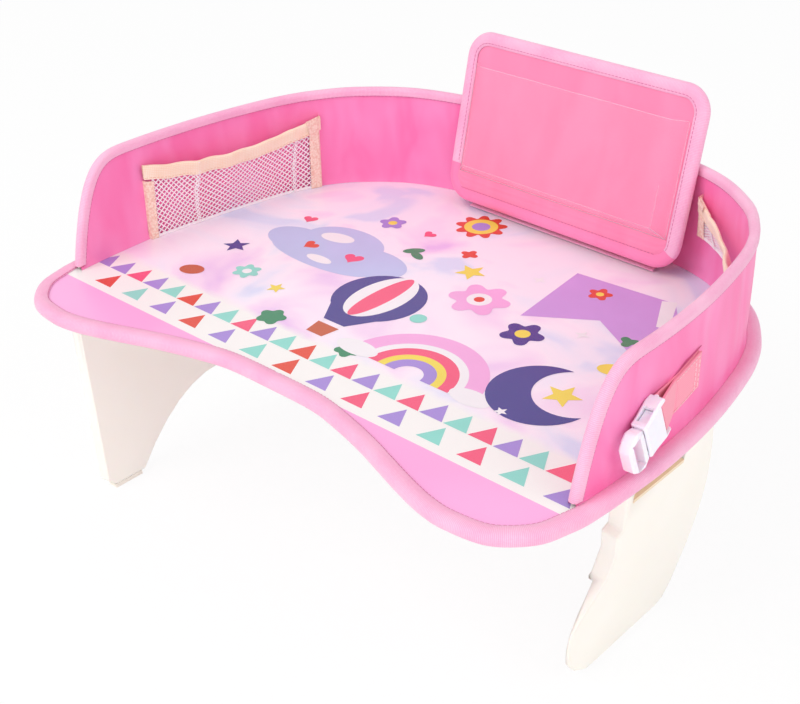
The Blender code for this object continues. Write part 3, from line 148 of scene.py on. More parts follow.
def runs_of(points):
    """Distance of each point along its line."""
    runs = [0.0]
    for a, b in zip(points, points[1:]):
        runs.append(runs[-1] + (b - a).length)
    return runs


def at_run(points, runs, distance):
    """The point that far along a line."""
    k = min(max(bisect.bisect_right(runs, distance) - 1, 0), len(points) - 2)
    return points[k].lerp(points[k + 1], (distance - runs[k]) / (runs[k + 1] - runs[k]))


def tray_loop(count):
    """Evenly spaced points of the tray's edge, with their outward normals."""
    closed = TRAY_EDGE + TRAY_EDGE[:1]
    runs = runs_of(closed)
    points = [at_run(closed, runs, runs[-1] * i / count) for i in range(count)]
    return list(zip(points, outward_of(points)))


def tray_layer(height):
    """One flat layer of the tray as a mesh of one face."""
    built = bmesh.new()
    ring = [p - n * LAYER_INSET for p, n in tray_loop(240)]
    built.faces.new([built.verts.new((p.x, p.y, height)) for p in ring])
    return built


def piece(name, built, material, body, stands_for=(), sharp=35):
    """Makes a mesh a piece of the tray table that moves with a body."""
    mesh = bpy.data.meshes.new(name)
    built.to_mesh(mesh)
    built.free()
    for one in material if isinstance(material, (list, tuple)) else (material,):
        mesh.materials.append(one)
    mesh.shade_smooth()
    mesh.set_sharp_from_angle(angle=math.radians(sharp))
    made = bpy.data.objects.new(name, mesh)
    bpy.context.scene.collection.objects.link(made)
    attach(made, body)
    if stands_for:
        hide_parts(*stands_for)
    return made


# Oxford cloth: matt, with a basket of threads 0.9 mm apart, drawn at 1.5 mm so that it shows.
LINING_THREAD = 1.5 * mm


def plain_weave(tree, vector, pitch):
    """Height of two crossing sets of threads."""
    warp, weft = (add(tree, "TexWave", {"Vector": vector, "Scale": WAVE_SCALE / pitch},
                      bands_direction=way) for way in "XY")
    return add(tree, "Math", {0: warp.outputs["Fac"], 1: weft.outputs["Fac"]},
               operation="MULTIPLY")


lining_cloth, tree, shader, here = finish("oxford_polyester", "#FBE3EC", 0.85, Sheen_Weight=0.3,
                                          Sheen_Roughness=0.5)
weave = plain_weave(tree, here, LINING_THREAD)
lay_on(tree, shader, weave.outputs[0], 0.5, 0.2 * mm, weave.outputs[0], "#F6D8E3", "#FDECF2")
lining = piece("tray_lining", tray_layer(LINING_HEIGHT), lining_cloth, "tray",
               ["tray_bottom_cover"])

# Printed top cover. Thin artificial leather is printed in bright inks, then laid over the board
# under a clear film. The front is plain pink, a white strip with two rows of triangles crosses
# it, and the back is a soft wash of pink, lilac and pale blue.
COVER_TOP = 145.4 * mm
STRIP_FRONT = -115.4 * mm
STRIP_BACK = -75.4 * mm
STRIP_FADE = 3 * mm
WASH_SIZE = 70 * mm
printed_leather, tree, shader, here = finish("printed_artificial_leather", "#FDB4E8", 0.3, IOR=1.4,
                                             Coat_Weight=0.3, Coat_Roughness=0.1)
split = add(tree, "SeparateXYZ", {0: here})
wash = add(tree, "TexNoise", {"Vector": here, "Scale": 1 / WASH_SIZE,
                              "Detail": 3.0, "Roughness": 0.45, "Distortion": 0.7})
washed = add(tree, "ValToRGB", {0: wash.outputs["Fac"]})
ramp = washed.color_ramp
ramp.elements[0].position, ramp.elements[0].color = 0.36, srgb("#DCE0F8")
ramp.elements[1].position, ramp.elements[1].color = 0.68, srgb("#E9BFEF")
for position, colour in ((0.42, "#F3ECFA"), (0.5, "#FDEDF9"), (0.6, "#F8DAF4")):
    ramp.elements.new(position).color = srgb(colour)
ragged = add(tree, "TexNoise", {"Vector": here, "Scale": 1 / (14 * mm), "Detail": 2.0})
drift = add(tree, "MapRange", {0: ragged.outputs["Fac"], 3: -STRIP_FADE, 4: STRIP_FADE})
shifted = add(tree, "Math", {0: split.outputs[1], 1: drift.outputs[0]}, operation="ADD")
behind = add(tree, "MapRange", {0: shifted.outputs[0], 1: STRIP_BACK - STRIP_FADE,
                                2: STRIP_BACK + STRIP_FADE})
before = add(tree, "Math", {0: split.outputs[1], 1: STRIP_FRONT}, operation="LESS_THAN")
strip = add(tree, "Mix", {0: behind.outputs[0], 6: srgb("#F7F4F1"), 7: washed.outputs[0]},
            data_type="RGBA")
field = add(tree, "TexNoise", {"Vector": here, "Scale": 1 / (90 * mm)})
pinks = add(tree, "Mix", {0: field.outputs["Fac"], 6: srgb("#FBA0D8"), 7: srgb("#FDB6E8")},
            data_type="RGBA")
whole = add(tree, "Mix", {0: before.outputs[0], 6: strip.outputs[2], 7: pinks.outputs[2]},
            data_type="RGBA")
grain = add(tree, "TexNoise", {"Vector": here, "Scale": 1 / (9 * mm), "Detail": 4.0})
tree.links.new(whole.outputs[2], shader.inputs["Base Color"])
lay_on(tree, shader, grain.outputs["Fac"], 0.08, 0.4 * mm)
cover = piece("tray_printed_cover", tray_layer(COVER_TOP), printed_leather, "tray",
              ["tray_top_cover"])

# Printed shapes. Each ink lies flat on the cover in a film too thin to feel: two rows of small
# triangles on the strip, and behind it a cloud, a balloon, a rainbow, a moon, flowers and
# hearts.
INK_STEP = 0.0018 * mm
INKS = {
    "orange_red": "#E8401C", "rose": "#FA4F7C", "lilac": "#A98BDC", "mint": "#8FDFD2",
    "pale_blue": "#C3CAF2", "indigo": "#35278C", "pink": "#FBB0E6", "yellow": "#F9E04A",
    "green": "#1F8A5C", "brown": "#C9551F", "white": "#FBF6FA", "violet": "#D2A0E8",
}
ink_names = list(INKS)
inks = []
for name, colour in INKS.items():
    ink, tree, shader, here = finish("printing_ink_" + name, colour, 0.3, IOR=1.4, Coat_Weight=0.3,
                                     Coat_Roughness=0.1)
    cloudy = add(tree, "TexNoise", {"Vector": here, "Scale": 1 / (22 * mm), "Detail": 3.0})
    deep = tuple(c * 0.88 for c in srgb(colour)[:3]) + (1.0,)
    mottle = add(tree, "Mix", {0: cloudy.outputs["Fac"], 6: deep, 7: srgb(colour)},
                 data_type="RGBA")
    tree.links.new(mottle.outputs[2], shader.inputs["Base Color"])
    inks.append(ink)

print_mesh = bmesh.new()
print_count = 0


def stamp(colour, outline):
    """One printed shape from (x, y) points in millimetres."""
    global print_count
    print_count += 1
    height = COVER_TOP + print_count * INK_STEP
    face = print_mesh.faces.new([print_mesh.verts.new((x * mm, y * mm, height))
                                 for x, y in outline])
    face.normal_update()
    if face.normal.z < 0:
        face.normal_flip()
    face.material_index = ink_names.index(colour)


def turned(x, y, turn, points):
    """An outline turned by an angle and moved to its place."""
    return [(x + a * math.cos(turn) - b * math.sin(turn),
             y + a * math.sin(turn) + b * math.cos(turn)) for a, b in points]


def oval(x, y, wide, high, turn=0.0, count=40):
    """Ellipse of half sizes wide and high."""
    angles = [2 * math.pi * i / count for i in range(count)]
    return turned(x, y, turn, [(wide * math.cos(a), high * math.sin(a)) for a in angles])


def arc(x, y, outer, inner, start=0.0, end=180.0, count=36):
    """Part of a ring."""
    angles = [math.radians(start + (end - start) * i / count) for i in range(count + 1)]
    outside = [(x + outer * math.cos(a), y + outer * math.sin(a)) for a in angles]
    inside = [(x + inner * math.cos(a), y + inner * math.sin(a)) for a in reversed(angles)]
    return outside + inside


def petals(x, y, radius, count, depth=0.3, turn=0.0):
    """Flower outline, or a star with sharp deep petals."""
    points = []
    for i in range(count * 12):
        angle = 2 * math.pi * i / (count * 12)
        reach = radius * (1 - depth * (0.5 - 0.5 * math.cos(count * angle)) ** 1.4)
        points.append((x + reach * math.cos(angle + turn), y + reach * math.sin(angle + turn)))
    return points


def star(x, y, radius, count=5, waist=0.45, turn=90.0):
    """Star with straight edges."""
    points = []
    for i in range(2 * count):
        reach = radius if i % 2 == 0 else radius * waist
        angle = math.radians(turn + 180.0 * i / count)
        points.append((x + reach * math.cos(angle), y + reach * math.sin(angle)))
    return points


def heart(x, y, size, turn=0.0):
    """Heart as wide as size."""
    points = []
    for i in range(40):
        t = 2 * math.pi * i / 40
        points.append((size / 32 * 16 * math.sin(t) ** 3,
                       size / 32 * (13 * math.cos(t) - 5 * math.cos(2 * t)
                                    - 2 * math.cos(3 * t) - math.cos(4 * t))))
    return turned(x, y, turn, points)


def crescent(x, y, radius, bite, turn):
    """Moon: a round with a smaller round bitten out of it."""
    points = []
    for i in range(41):
        angle = math.radians(turn + 50 + 260 * i / 40)
        points.append((x + radius * math.cos(angle), y + radius * math.sin(angle)))
    ends = points[-1], points[0]
    middle = (x + bite * math.cos(math.radians(turn)), y + bite * math.sin(math.radians(turn)))
    first, last = (math.atan2(p[1] - middle[1], p[0] - middle[0]) for p in ends)
    reach = math.hypot(ends[0][0] - middle[0], ends[0][1] - middle[1])
    if last > first:
        last -= 2 * math.pi
    for i in range(1, 24):
        angle = first + (last - first) * i / 24
        points.append((middle[0] + reach * math.cos(angle), middle[1] + reach * math.sin(angle)))
    return points


TRIANGLE_BASE = 15.1
TRIANGLE_HEIGHT = 14.3
FRONT_ROW = ("orange_red mint lilac orange_red lilac mint orange_red lilac rose lilac mint rose "
             "mint lilac").split()
BACK_ROW = ("lilac lilac rose lilac mint orange_red lilac mint rose lilac mint orange_red mint "
            "rose lilac mint rose lilac mint rose lilac mint rose").split()
for row, first_x, pitch, base_y in ((FRONT_ROW, -166.4, 25.95, -109.4),
                                    (BACK_ROW, -189.2, 15.87, -92.7)):
    for number, colour in enumerate(row):
        x = first_x + number * pitch
        if x > -192:
            stamp(colour, ((x, base_y), (x + TRIANGLE_BASE, base_y),
                           (x + TRIANGLE_BASE / 2, base_y + TRIANGLE_HEIGHT)))

for colour, outline in (
    ("violet", [(52, 84), (58, 20), (96, 44), (139, 18), (140, 58), (118, 88)]),
    ("white", [(110, 86), (124, 58), (131, 60), (118, 90)]),
    ("pale_blue", oval(-112, 10, 24, 15)), ("pale_blue", oval(-86, 24, 30, 20)),
    ("pale_blue", oval(-54, 14, 27, 17)), ("pale_blue", oval(-84, 2, 42, 14)),
    ("white", oval(-94, 27, 12, 6, 0.2)), ("rose", heart(-66, 12, 13, 0.2)),
    ("orange_red", heart(-100, 9, 11, -0.3)), ("white", oval(-82, -2, 10, 4)),
    ("indigo", oval(-18, -16, 28, 29)),
    ("indigo", [(-36, -38), (0, -38), (-10, -54), (-26, -54)]),
    ("white", oval(-18, -14, 16, 28)), ("rose", oval(-18, -14, 7, 28)),
    ("brown", [(-26, -58), (-10, -58), (-12, -70), (-24, -70)]),
    ("white", [(-25, -54), (-24.2, -54), (-23.6, -58), (-24.4, -58)]),
    ("white", [(-11.8, -54), (-11, -54), (-11.6, -58), (-12.4, -58)]),
    ("green", petals(-50, -72, 9, 5, 0.25, 0.4)), ("green", petals(10, -71, 8, 5, 0.25)),
    ("pink", arc(52, -70, 44, 33)), ("white", arc(52, -70, 33, 28)),
    ("rose", arc(52, -70, 28, 21)), ("yellow", arc(52, -70, 21, 16)),
    ("lilac", arc(52, -70, 16, 9)),
    ("white", oval(12, -66, 14, 7)), ("white", oval(92, -66, 13, 7)),
    ("indigo", crescent(118, -40, 29, 17, 40)), ("yellow", star(127, -34, 11)),
    ("white", star(112, -66, 4, turn=70)), ("indigo", petals(72, 4, 13, 5, 0.34, 0.2)),
    ("yellow", oval(72, 4, 4.5, 4.5)), ("pink", petals(28, 20, 19, 6, 0.3, 0.3)),
    ("white", oval(28, 20, 7.5, 7.5)), ("orange_red", oval(28, 20, 3.2, 3.2)),
    ("yellow", star(2, 44, 10, turn=80)), ("orange_red", petals(-14, 62, 6, 4, 0.4)),
    ("orange_red", petals(78, 70, 7.5, 5, 0.35, 0.5)), ("yellow", oval(78, 70, 2.4, 2.4)),
    ("green", petals(122, 34, 6, 3, 0.45, 0.6)), ("yellow", oval(132, 4, 8.5, 5.6, 0.4)),
    ("orange_red", petals(-34, 98, 17, 9, 0.28)), ("yellow", oval(-34, 98, 11, 11)),
    ("lilac", oval(-34, 98, 6, 6)), ("indigo", star(-136, -22, 9, turn=60)),
    ("rose", heart(-128, 36, 10, 0.3)), ("mint", petals(-104, -42, 9, 6, 0.3)),
    ("white", oval(-104, -42, 3, 3)), ("yellow", star(-74, -46, 6, turn=100)),
    ("brown", oval(-132, -62, 8, 6, 0.4)), ("green", oval(-44, 44, 7, 3.4, 0.8)),
    ("green", oval(-38, 40, 6, 3, -0.4)), ("rose", heart(-52, 68, 9, -0.2)),
    ("white", star(98, 24, 5, 4, 0.35)), ("white", star(40, 62, 5, 4, 0.35)),
    ("lilac", petals(-82, 66, 9, 5, 0.3, 0.9)), ("yellow", oval(-82, 66, 3, 3)),
    ("rose", heart(143, -14, 10, -0.3)), ("mint", oval(16, -20, 5, 5)),
):
    stamp(colour, outline)
printed = piece("tray_print", print_mesh, inks, "tray")

# Clear film. A glossy PVC sheet 0.3 mm thick covers the print, so that spills wipe off. It adds
# a soft shine and the least lift to the colours.
FILM_TOP = 146.0 * mm
clear_film, tree, shader, here = finish("clear_pvc_film", "#FFF6FC", 0.1, IOR=1.52, Alpha=0.03)
ripple = add(tree, "TexNoise", {"Vector": here, "Scale": 1 / (60 * mm), "Detail": 2.0})
lay_on(tree, shader, ripple.outputs["Fac"], 0.2, 1.0 * mm)
film = piece("tray_film", tray_layer(FILM_TOP), clear_film, "tray", ["tray_clear_film"])

# Edge binding. A ribbed polyester tape is folded round the edge of all the layers and sewn
# through with one line of stitches, which draws its inner edge down.
EDGE_TAPE_SECTION = (
    (8.9, 145.5), (8.4, 146.6), (7.4, 146.6), (6.4, 147.0), (4.8, 147.3), (3.2, 147.2),
    (1.8, 146.7), (0.8, 145.8), (0.3, 144.6), (0.1, 143.1), (0.3, 141.6), (0.8, 140.4),
    (1.8, 139.5), (3.2, 139.0), (4.8, 138.9), (6.4, 139.2), (7.4, 139.5), (8.3, 139.4),
    (8.8, 140.0),
)
EDGE_POINTS = 400


def cloth(rows, loop=False, tube=False):
    """Quads through rows of points, with a map in metres: u along their run, v across it."""
    built = bmesh.new()
    layer = built.loops.layers.uv.new("metres")
    verts = [[built.verts.new(p) for p in row] for row in rows]
    middle = len(rows[0]) // 2
    spine = [row[middle] for row in rows] + ([rows[0][middle]] if loop else [])
    along = runs_of(spine)
    sample = rows[len(rows) // 2]
    across = runs_of(list(sample) + ([sample[0]] if tube else []))
    for i in range(len(rows) - (0 if loop else 1)):
        for j in range(len(sample) - (0 if tube else 1)):
            k, m = (i + 1) % len(rows), (j + 1) % len(sample)
            face = built.faces.new((verts[i][j], verts[k][j], verts[k][m], verts[i][m]))
            spots = ((i, j), (i + 1, j), (i + 1, j + 1), (i, j + 1))
            for corner, (a, b) in zip(face.loops, spots):
                corner[layer].uv = (along[a], across[b])
    if tube and not loop:
        built.faces.new(verts[0][::-1])
        built.faces.new(verts[-1])
    if tube:
        bmesh.ops.recalc_face_normals(built, faces=built.faces)
    return built


def stitches(name, path, material, body, pitch=2.6 * mm, length=2.4 * mm, radius=0.2 * mm):
    """A row of short threads along a path of points."""
    runs = runs_of(path)
    built = bmesh.new()
    for k in range(int(runs[-1] / pitch)):
        start = (k + 0.5) * pitch - length / 2
        a, b = at_run(path, runs, start), at_run(path, runs, start + length)
        step = (b - a).normalized()
        side = step.orthogonal().normalized()
        other = step.cross(side)
        rings = []
        for share, reach in ((0.22, radius), (0.78, radius)):
            centre = a.lerp(b, share)
            rings.append([
                built.verts.new(centre + (side * math.cos(math.pi * i / 3)
                                          + other * math.sin(math.pi * i / 3)) * reach)
                for i in range(6)
            ])
        tips = built.verts.new(a), built.verts.new(b)
        for i in range(6):
            j = (i + 1) % 6
            built.faces.new((tips[0], rings[0][j], rings[0][i]))
            built.faces.new((rings[0][i], rings[0][j], rings[1][j], rings[1][i]))
            built.faces.new((rings[1][i], rings[1][j], tips[1]))
    return piece(name, built, material, body, sharp=60)


# Grosgrain: cross ribs 0.7 mm apart, drawn at 0.9 mm, on a pile that scatters light, so that it
# looks pale and dusty beside the leather.
RIB_PITCH = 0.9 * mm


def ribbed_tape(name, light, dark):
    """A material of ribs across the tape, with fuzz and soft blotches."""
    material, tree, shader, here = finish(name, light, 0.78, Sheen_Weight=0.35,
                                          Sheen_Roughness=0.4)
    mapped = add(tree, "UVMap", uv_map="metres")
    ribs = add(tree, "TexWave", {"Vector": mapped.outputs[0], "Scale": WAVE_SCALE / RIB_PITCH,
                                 "Distortion": 0.6, "Detail": 1.0, "Detail Scale": 1.5},
               bands_direction="X")
    fuzz = add(tree, "TexNoise", {"Vector": here, "Scale": 1 / (1.6 * mm),
                                  "Detail": 3.0, "Roughness": 0.7})
    blotch = add(tree, "TexNoise", {"Vector": here, "Scale": 1 / (24 * mm)})
    speck = add(tree, "Math", {0: ribs.outputs["Fac"], 1: fuzz.outputs["Fac"]},
                operation="MULTIPLY")
    tone = add(tree, "Math", {0: speck.outputs[0], 1: blotch.outputs["Fac"]}, operation="ADD")
    level = add(tree, "MapRange", {0: tone.outputs[0], 1: 0.35, 2: 1.05})
    lay_on(tree, shader, speck.outputs[0], 0.6, 0.3 * mm, level.outputs[0], dark, light)
    return material


pink_tape = ribbed_tape("grosgrain_light_pink", "#FFC4DF", "#F6A0C9")
edge_rows = [[p - n * a * mm + Vector((0.0, 0.0, z * mm)) for a, z in EDGE_TAPE_SECTION]
             for p, n in tray_loop(EDGE_POINTS)]
edge_tape = piece("tray_edge_tape", cloth(edge_rows, loop=True), pink_tape, "tray",
                  ["tray_edge_binding"], sharp=70)


def mottled(name, colour, roughness, size, dark, light, relief=None, detail=2.0, **sockets):
    """A material that wanders between two shades over soft spots of a size. The relief, where
    there is one, is the strength and the depth of the spots."""
    material, tree, shader, here = finish(name, colour, roughness, **sockets)
    spots = add(tree, "TexNoise", {"Vector": here, "Scale": 1 / size, "Detail": detail})
    tint = add(tree, "Mix", {0: spots.outputs["Fac"], 6: srgb(dark), 7: srgb(light)},
               data_type="RGBA")
    tree.links.new(tint.outputs[2], shader.inputs["Base Color"])
    if relief:
        lay_on(tree, shader, spots.outputs["Fac"], relief[0], relief[1])
    return material


# Sewing thread: spun polyester, a shade deeper than the tape, with a slight lustre. Its twist is
# drawn 0.6 mm long. Its deeper colour is partly painted shade: at the tapes' edges the stitches
# also stand for the dark shadow line where the tape meets the leather.
THREAD_TWIST = 0.6 * mm
EDGE_SEAM_INSET = 8.7 * mm
pink_thread_and_seam_shade = mottled("spun_polyester_thread", "#D9659B", 0.55, THREAD_TWIST, "#C9558C",
                      "#E67DAE", Sheen_Weight=0.2)
# These stitches run at the tape's inner edge, where their deep colour is also a painted shadow
# line.
for word, height in (("upper", 146.35), ("lower", 139.8)):
    seam = [p - n * EDGE_SEAM_INSET + Vector((0.0, 0.0, height * mm))
            for p, n in tray_loop(EDGE_POINTS)]
    stitches(f"tray_edge_{word}_stitches", seam + seam[:1], pink_thread_and_seam_shade, "tray")

# Rim covers. Hot pink artificial leather is drawn round the rim's board, inside and out, and
# sewn down at the tray, where its foot turns out into the seam. It pulls into faint upright
# creases where the wall curves.
RIM_INSET = 11.0 * mm
RIM_FRONT = FRONT_Y + 47 * mm
RIM_FOOT = 146.3 * mm
RIM_HEIGHT = 65.3 * mm
RIM_TIP = 1.6 * mm
RIM_END_RUN = 50 * mm
RIM_END_POWER = 3.6
RIM_HALF = 1.6 * mm
WALL_CROWN = 0.5 * mm
CREASE_COUNT = 44


def rim_course():
    """Centre line of the rim, from its right-hand front end round the back to its left one."""
    inner = [p - n * RIM_INSET for p, n in zip(TRAY_EDGE, outward_of(TRAY_EDGE))]
    lobe = min(range(len(inner) // 2), key=lambda i: TRAY_EDGE[i].y)
    kept = [i for i in range(lobe, len(inner) - lobe) if inner[i].y > RIM_FRONT]
    first, last = kept[0], kept[-1]
    before, after = inner[first - 1], inner[last + 1]
    start = before.lerp(inner[first], (RIM_FRONT - before.y) / (inner[first].y - before.y))
    end = after.lerp(inner[last], (RIM_FRONT - after.y) / (inner[last].y - after.y))
    return [start] + inner[first:last + 1] + [end]


RIM_COURSE = rim_course()
RIM_RUNS = runs_of(RIM_COURSE)
RIM_LENGTH = RIM_RUNS[-1]


def rim_place(distance, outward=0.0, height=0.0):
    """A point beside the rim's centre line."""
    small = 1.5 * mm
    a = at_run(RIM_COURSE, RIM_RUNS, max(distance - small, 0.0))
    b = at_run(RIM_COURSE, RIM_RUNS, min(distance + small, RIM_LENGTH))
    step = (b - a).normalized()
    here = at_run(RIM_COURSE, RIM_RUNS, distance)
    point = here + Vector((step.y, -step.x, 0.0)) * outward
    return Vector((point.x, point.y, height))


def rim_top(distance):
    """Height of the rim's upper edge, which curves down to the tray at both front ends."""
    share = min(min(distance, RIM_LENGTH - distance) / RIM_END_RUN, 1.0)
    return RIM_FOOT + RIM_TIP + (RIM_HEIGHT - RIM_TIP) * (1 - (1 - share) ** RIM_END_POWER)


def rim_distances(step):
    """Distances along the rim, closer together on its curved ends."""
    ends = [RIM_END_RUN * (i / 24) ** 1.8 for i in range(24)]
    count = int((RIM_LENGTH - 2 * RIM_END_RUN) / step)
    middle = [RIM_END_RUN + (RIM_LENGTH - 2 * RIM_END_RUN) * i / count for i in range(count + 1)]
    return ends + middle + [RIM_LENGTH - d for d in reversed(ends)]


creasing = random.Random(7)
CREASES = [
    (creasing.uniform(40, RIM_LENGTH * 1000 - 40) * mm, creasing.uniform(2.5, 7) * mm,
     creasing.uniform(-1.0, 0.7) * mm, creasing.uniform(0.15, 0.85))
    for _ in range(CREASE_COUNT)
]


def wall_swell(distance, share):
    """How far a cover stands off its board, at that distance and share of its height."""
    inside = min(max(share, 0.0), 1.0)
    swell = WALL_CROWN * math.sin(math.pi * inside) ** 0.6
    for at, width, depth, middle in CREASES:
        if abs(distance - at) < 3 * width:
            swell += (depth * math.exp(-((distance - at) / width) ** 2)
                      * math.exp(-((inside - middle) / 0.45) ** 2) * math.sin(math.pi * inside))
    return swell


# Polyurethane leather: a fine pebble grain 0.6 mm across, drawn at 1.1 mm, with a soft satin
# shine. Its colour pales and deepens in soft upright streaks. These are painted light and shade,
# standing for the lit and shaded sides of its folds where it is pulled over the board.
GRAIN = 1.1 * mm


def grained_leather(name, light, dark, roughness=0.46):
    material, tree, shader, here = finish(name, light, roughness, IOR=1.46, Sheen_Weight=0.08)
    cells = add(tree, "TexVoronoi", {"Vector": here, "Scale": 1 / GRAIN}, feature="SMOOTH_F1")
    fine = add(tree, "TexNoise", {"Vector": here, "Scale": 1 / (0.7 * mm), "Detail": 2.0})
    # Painted light and shade: a cloud stretched upright moves the colour between the dark and the
    # light shade, as streaks of light on the folds.
    drawn = add(tree, "Mapping", {"Vector": here, "Scale": (1.0, 1.0, 0.35)})
    cloudy = add(tree, "TexNoise", {"Vector": drawn.outputs[0], "Scale": 1 / (24 * mm),
                                    "Detail": 2.0, "Distortion": 0.5})
    level = add(tree, "MapRange", {0: cloudy.outputs["Fac"], 1: 0.35, 2: 0.65})
    relief = add(tree, "Math", {0: cells.outputs["Distance"], 1: fine.outputs["Fac"]},
                 operation="ADD")
    lay_on(tree, shader, relief.outputs[0], 0.16, 0.25 * mm, level.outputs[0], dark, light)
    return material


pink_leather = grained_leather("polyurethane_leather_hot_pink", "#FF8FC6", "#FC76B3")
for word, node, way in (("inner", "rim_inner_cover", -1), ("outer", "rim_outer_cover", 1)):
    rows = []
    for distance in rim_distances(3 * mm):
        top = rim_top(distance) - 0.2 * mm
        row = [rim_place(distance, way * (RIM_HALF + 1.3 * mm), COVER_TOP + 0.05 * mm),
               rim_place(distance, way * (RIM_HALF + 0.8 * mm), RIM_FOOT + 0.7 * mm)]
        row += [
            rim_place(distance, way * (RIM_HALF + wall_swell(distance, r / 18)),
                      RIM_FOOT + (top - RIM_FOOT) * r / 18)
            for r in range(1, 19)
        ]
        rows.append(row)
    if way > 0:
        rows = rows[::-1]
    rim_cover = piece("rim_" + word + "_leather", cloth(rows), pink_leather, "tray", [node],
                      sharp=60)

# Rim binding. The same ribbed tape is folded over the rim's upper edge, down to the tray at both
# front ends, with a line of stitches along each face.
RIM_TAPE_SECTION = (
    (-2.35, -4.2), (-2.75, -3.7), (-2.6, -2.9), (-2.75, -1.8), (-2.75, -0.6), (-2.3, 0.5),
    (-1.2, 1.25), (0.0, 1.45), (1.2, 1.25), (2.3, 0.5), (2.75, -0.6), (2.75, -1.8),
    (2.6, -2.9), (2.75, -3.7), (2.35, -4.2),
)


def rim_edge_frames(step):
    """Points of the rim's upper edge, with the way out of the wall and the way off the edge."""
    distances = rim_distances(step)
    path = [rim_place(d, 0.0, rim_top(d)) for d in distances]
    frames = []
    for i, (distance, point) in enumerate(zip(distances, path)):
        out = (rim_place(distance, RIM_HALF) - rim_place(distance)).normalized()
        if i == 0:
            run = Vector((0.0, 0.0, 1.0))
        elif i == len(path) - 1:
            run = Vector((0.0, 0.0, -1.0))
        else:
            run = (path[i + 1] - path[i - 1]).normalized()
        frames.append((point, out, out.cross(run).normalized()))
    return frames


rim_frames = rim_edge_frames(3 * mm)
rim_rows = [[p + out * a * mm + off * b * mm for a, b in RIM_TAPE_SECTION]
            for p, out, off in rim_frames]
rim_tape = piece("rim_tape", cloth(rim_rows), pink_tape, "tray", ["rim_binding"],
                 sharp=70)
# These stitches sit at the tape's lower edges, where their deep colour is also a painted shadow
# line.
for word, way in (("inner", -1), ("outer", 1)):
    stitches(f"rim_{word}_stitches",
             [p + out * way * 2.45 * mm - off * 4.15 * mm for p, out, off in rim_frames],
             pink_thread_and_seam_shade, "tray")

# Net pockets. A knitted diamond net is sewn to the wall at its two ends and its foot, and hangs
# a little open at the top. Two pleats take up its spare width.
POCKET_STARTS = {-1: 56 * mm, 1: 131 * mm}
POCKET_LENGTH = 137 * mm
RAISED_FOOT_HEIGHT = 27 * mm
RAISED_FOOT_SHARES = (0.4, 0.54)
POCKET_HEIGHT = 49 * mm
POCKET_SAG = 7 * mm
POCKET_SEAT = 2.2 * mm
POCKET_BULGE = 9 * mm
NET_MESHES_WIDE = 33
NET_MESHES_TALL = 13
NET_STRAND = 0.26
PLEAT_STRAND = 0.38
NET_THICKNESS = 0.32 * mm
PLEATS = ((0.27, 0.02), (0.84, 0.017))


def rim_run(side, distance):
    """Distance along the rim from a side's own front end."""
    return distance if side > 0 else RIM_LENGTH - distance


def eased(share):
    share = min(max(share, 0.0), 1.0)
    return share * share * (3 - 2 * share)


def pocket_top(share):
    return POCKET_HEIGHT - POCKET_SAG * math.sin(math.pi * min(max(share, 0.0), 1.0))


def pocket_foot(side, share):
    """Height of the net's foot: the rear half of the right-hand pocket is cut away below."""
    low, high = RAISED_FOOT_SHARES
    return RAISED_FOOT_HEIGHT * eased((share - low) / (high - low)) if side > 0 else 0.0


def pocket_place(side, share, rise, off=0.0):
    """A point of the net, by its share of the pocket's length and of its height."""
    inside, up = min(max(share, 0.0), 1.0), min(max(rise, 0.0), 1.0)
    bulge = POCKET_BULGE * math.sin(math.pi * inside) ** 0.6 * (0.3 + 0.7 * up)
    ruffle = 0.5 * mm * math.sin(inside * 31.0) * up
    for at, width in PLEATS:
        ruffle += 1.3 * mm * math.exp(-((inside - at) / width) ** 2) * (0.4 + 0.6 * up)
    inward = RIM_HALF + POCKET_SEAT + bulge + ruffle * math.sin(math.pi * inside) + off
    distance = rim_run(side, POCKET_STARTS[side] + POCKET_LENGTH * share)
    foot = pocket_foot(side, share)
    return rim_place(distance, -inward, RIM_FOOT + foot + rise * (pocket_top(share) - foot))


def net_shapes(wide, tall, gap):
    """Knots and strands of a diamond net whose knots are one unit apart."""
    shapes = []
    for i in range(wide + 1):
        for j in range(tall + 1):
            if (i + j) % 2 == 0:
                shapes.append([(x, y) for x, y in ((i + gap, j), (i, j + gap), (i - gap, j),
                                                   (i, j - gap))
                               if 0 <= x <= wide and 0 <= y <= tall])
                if len(shapes[-1]) == 2:
                    shapes[-1].append((i, j))
                continue
            if i < wide and j < tall:
                shapes.append([(i + 1 - gap, j), (i + 1, j + gap), (i + gap, j + 1),
                               (i, j + 1 - gap)])
            if i > 0 and j < tall:
                shapes.append([(i, j + 1 - gap), (i - gap, j + 1), (i - 1, j + gap),
                               (i - 1 + gap, j)])
    return shapes


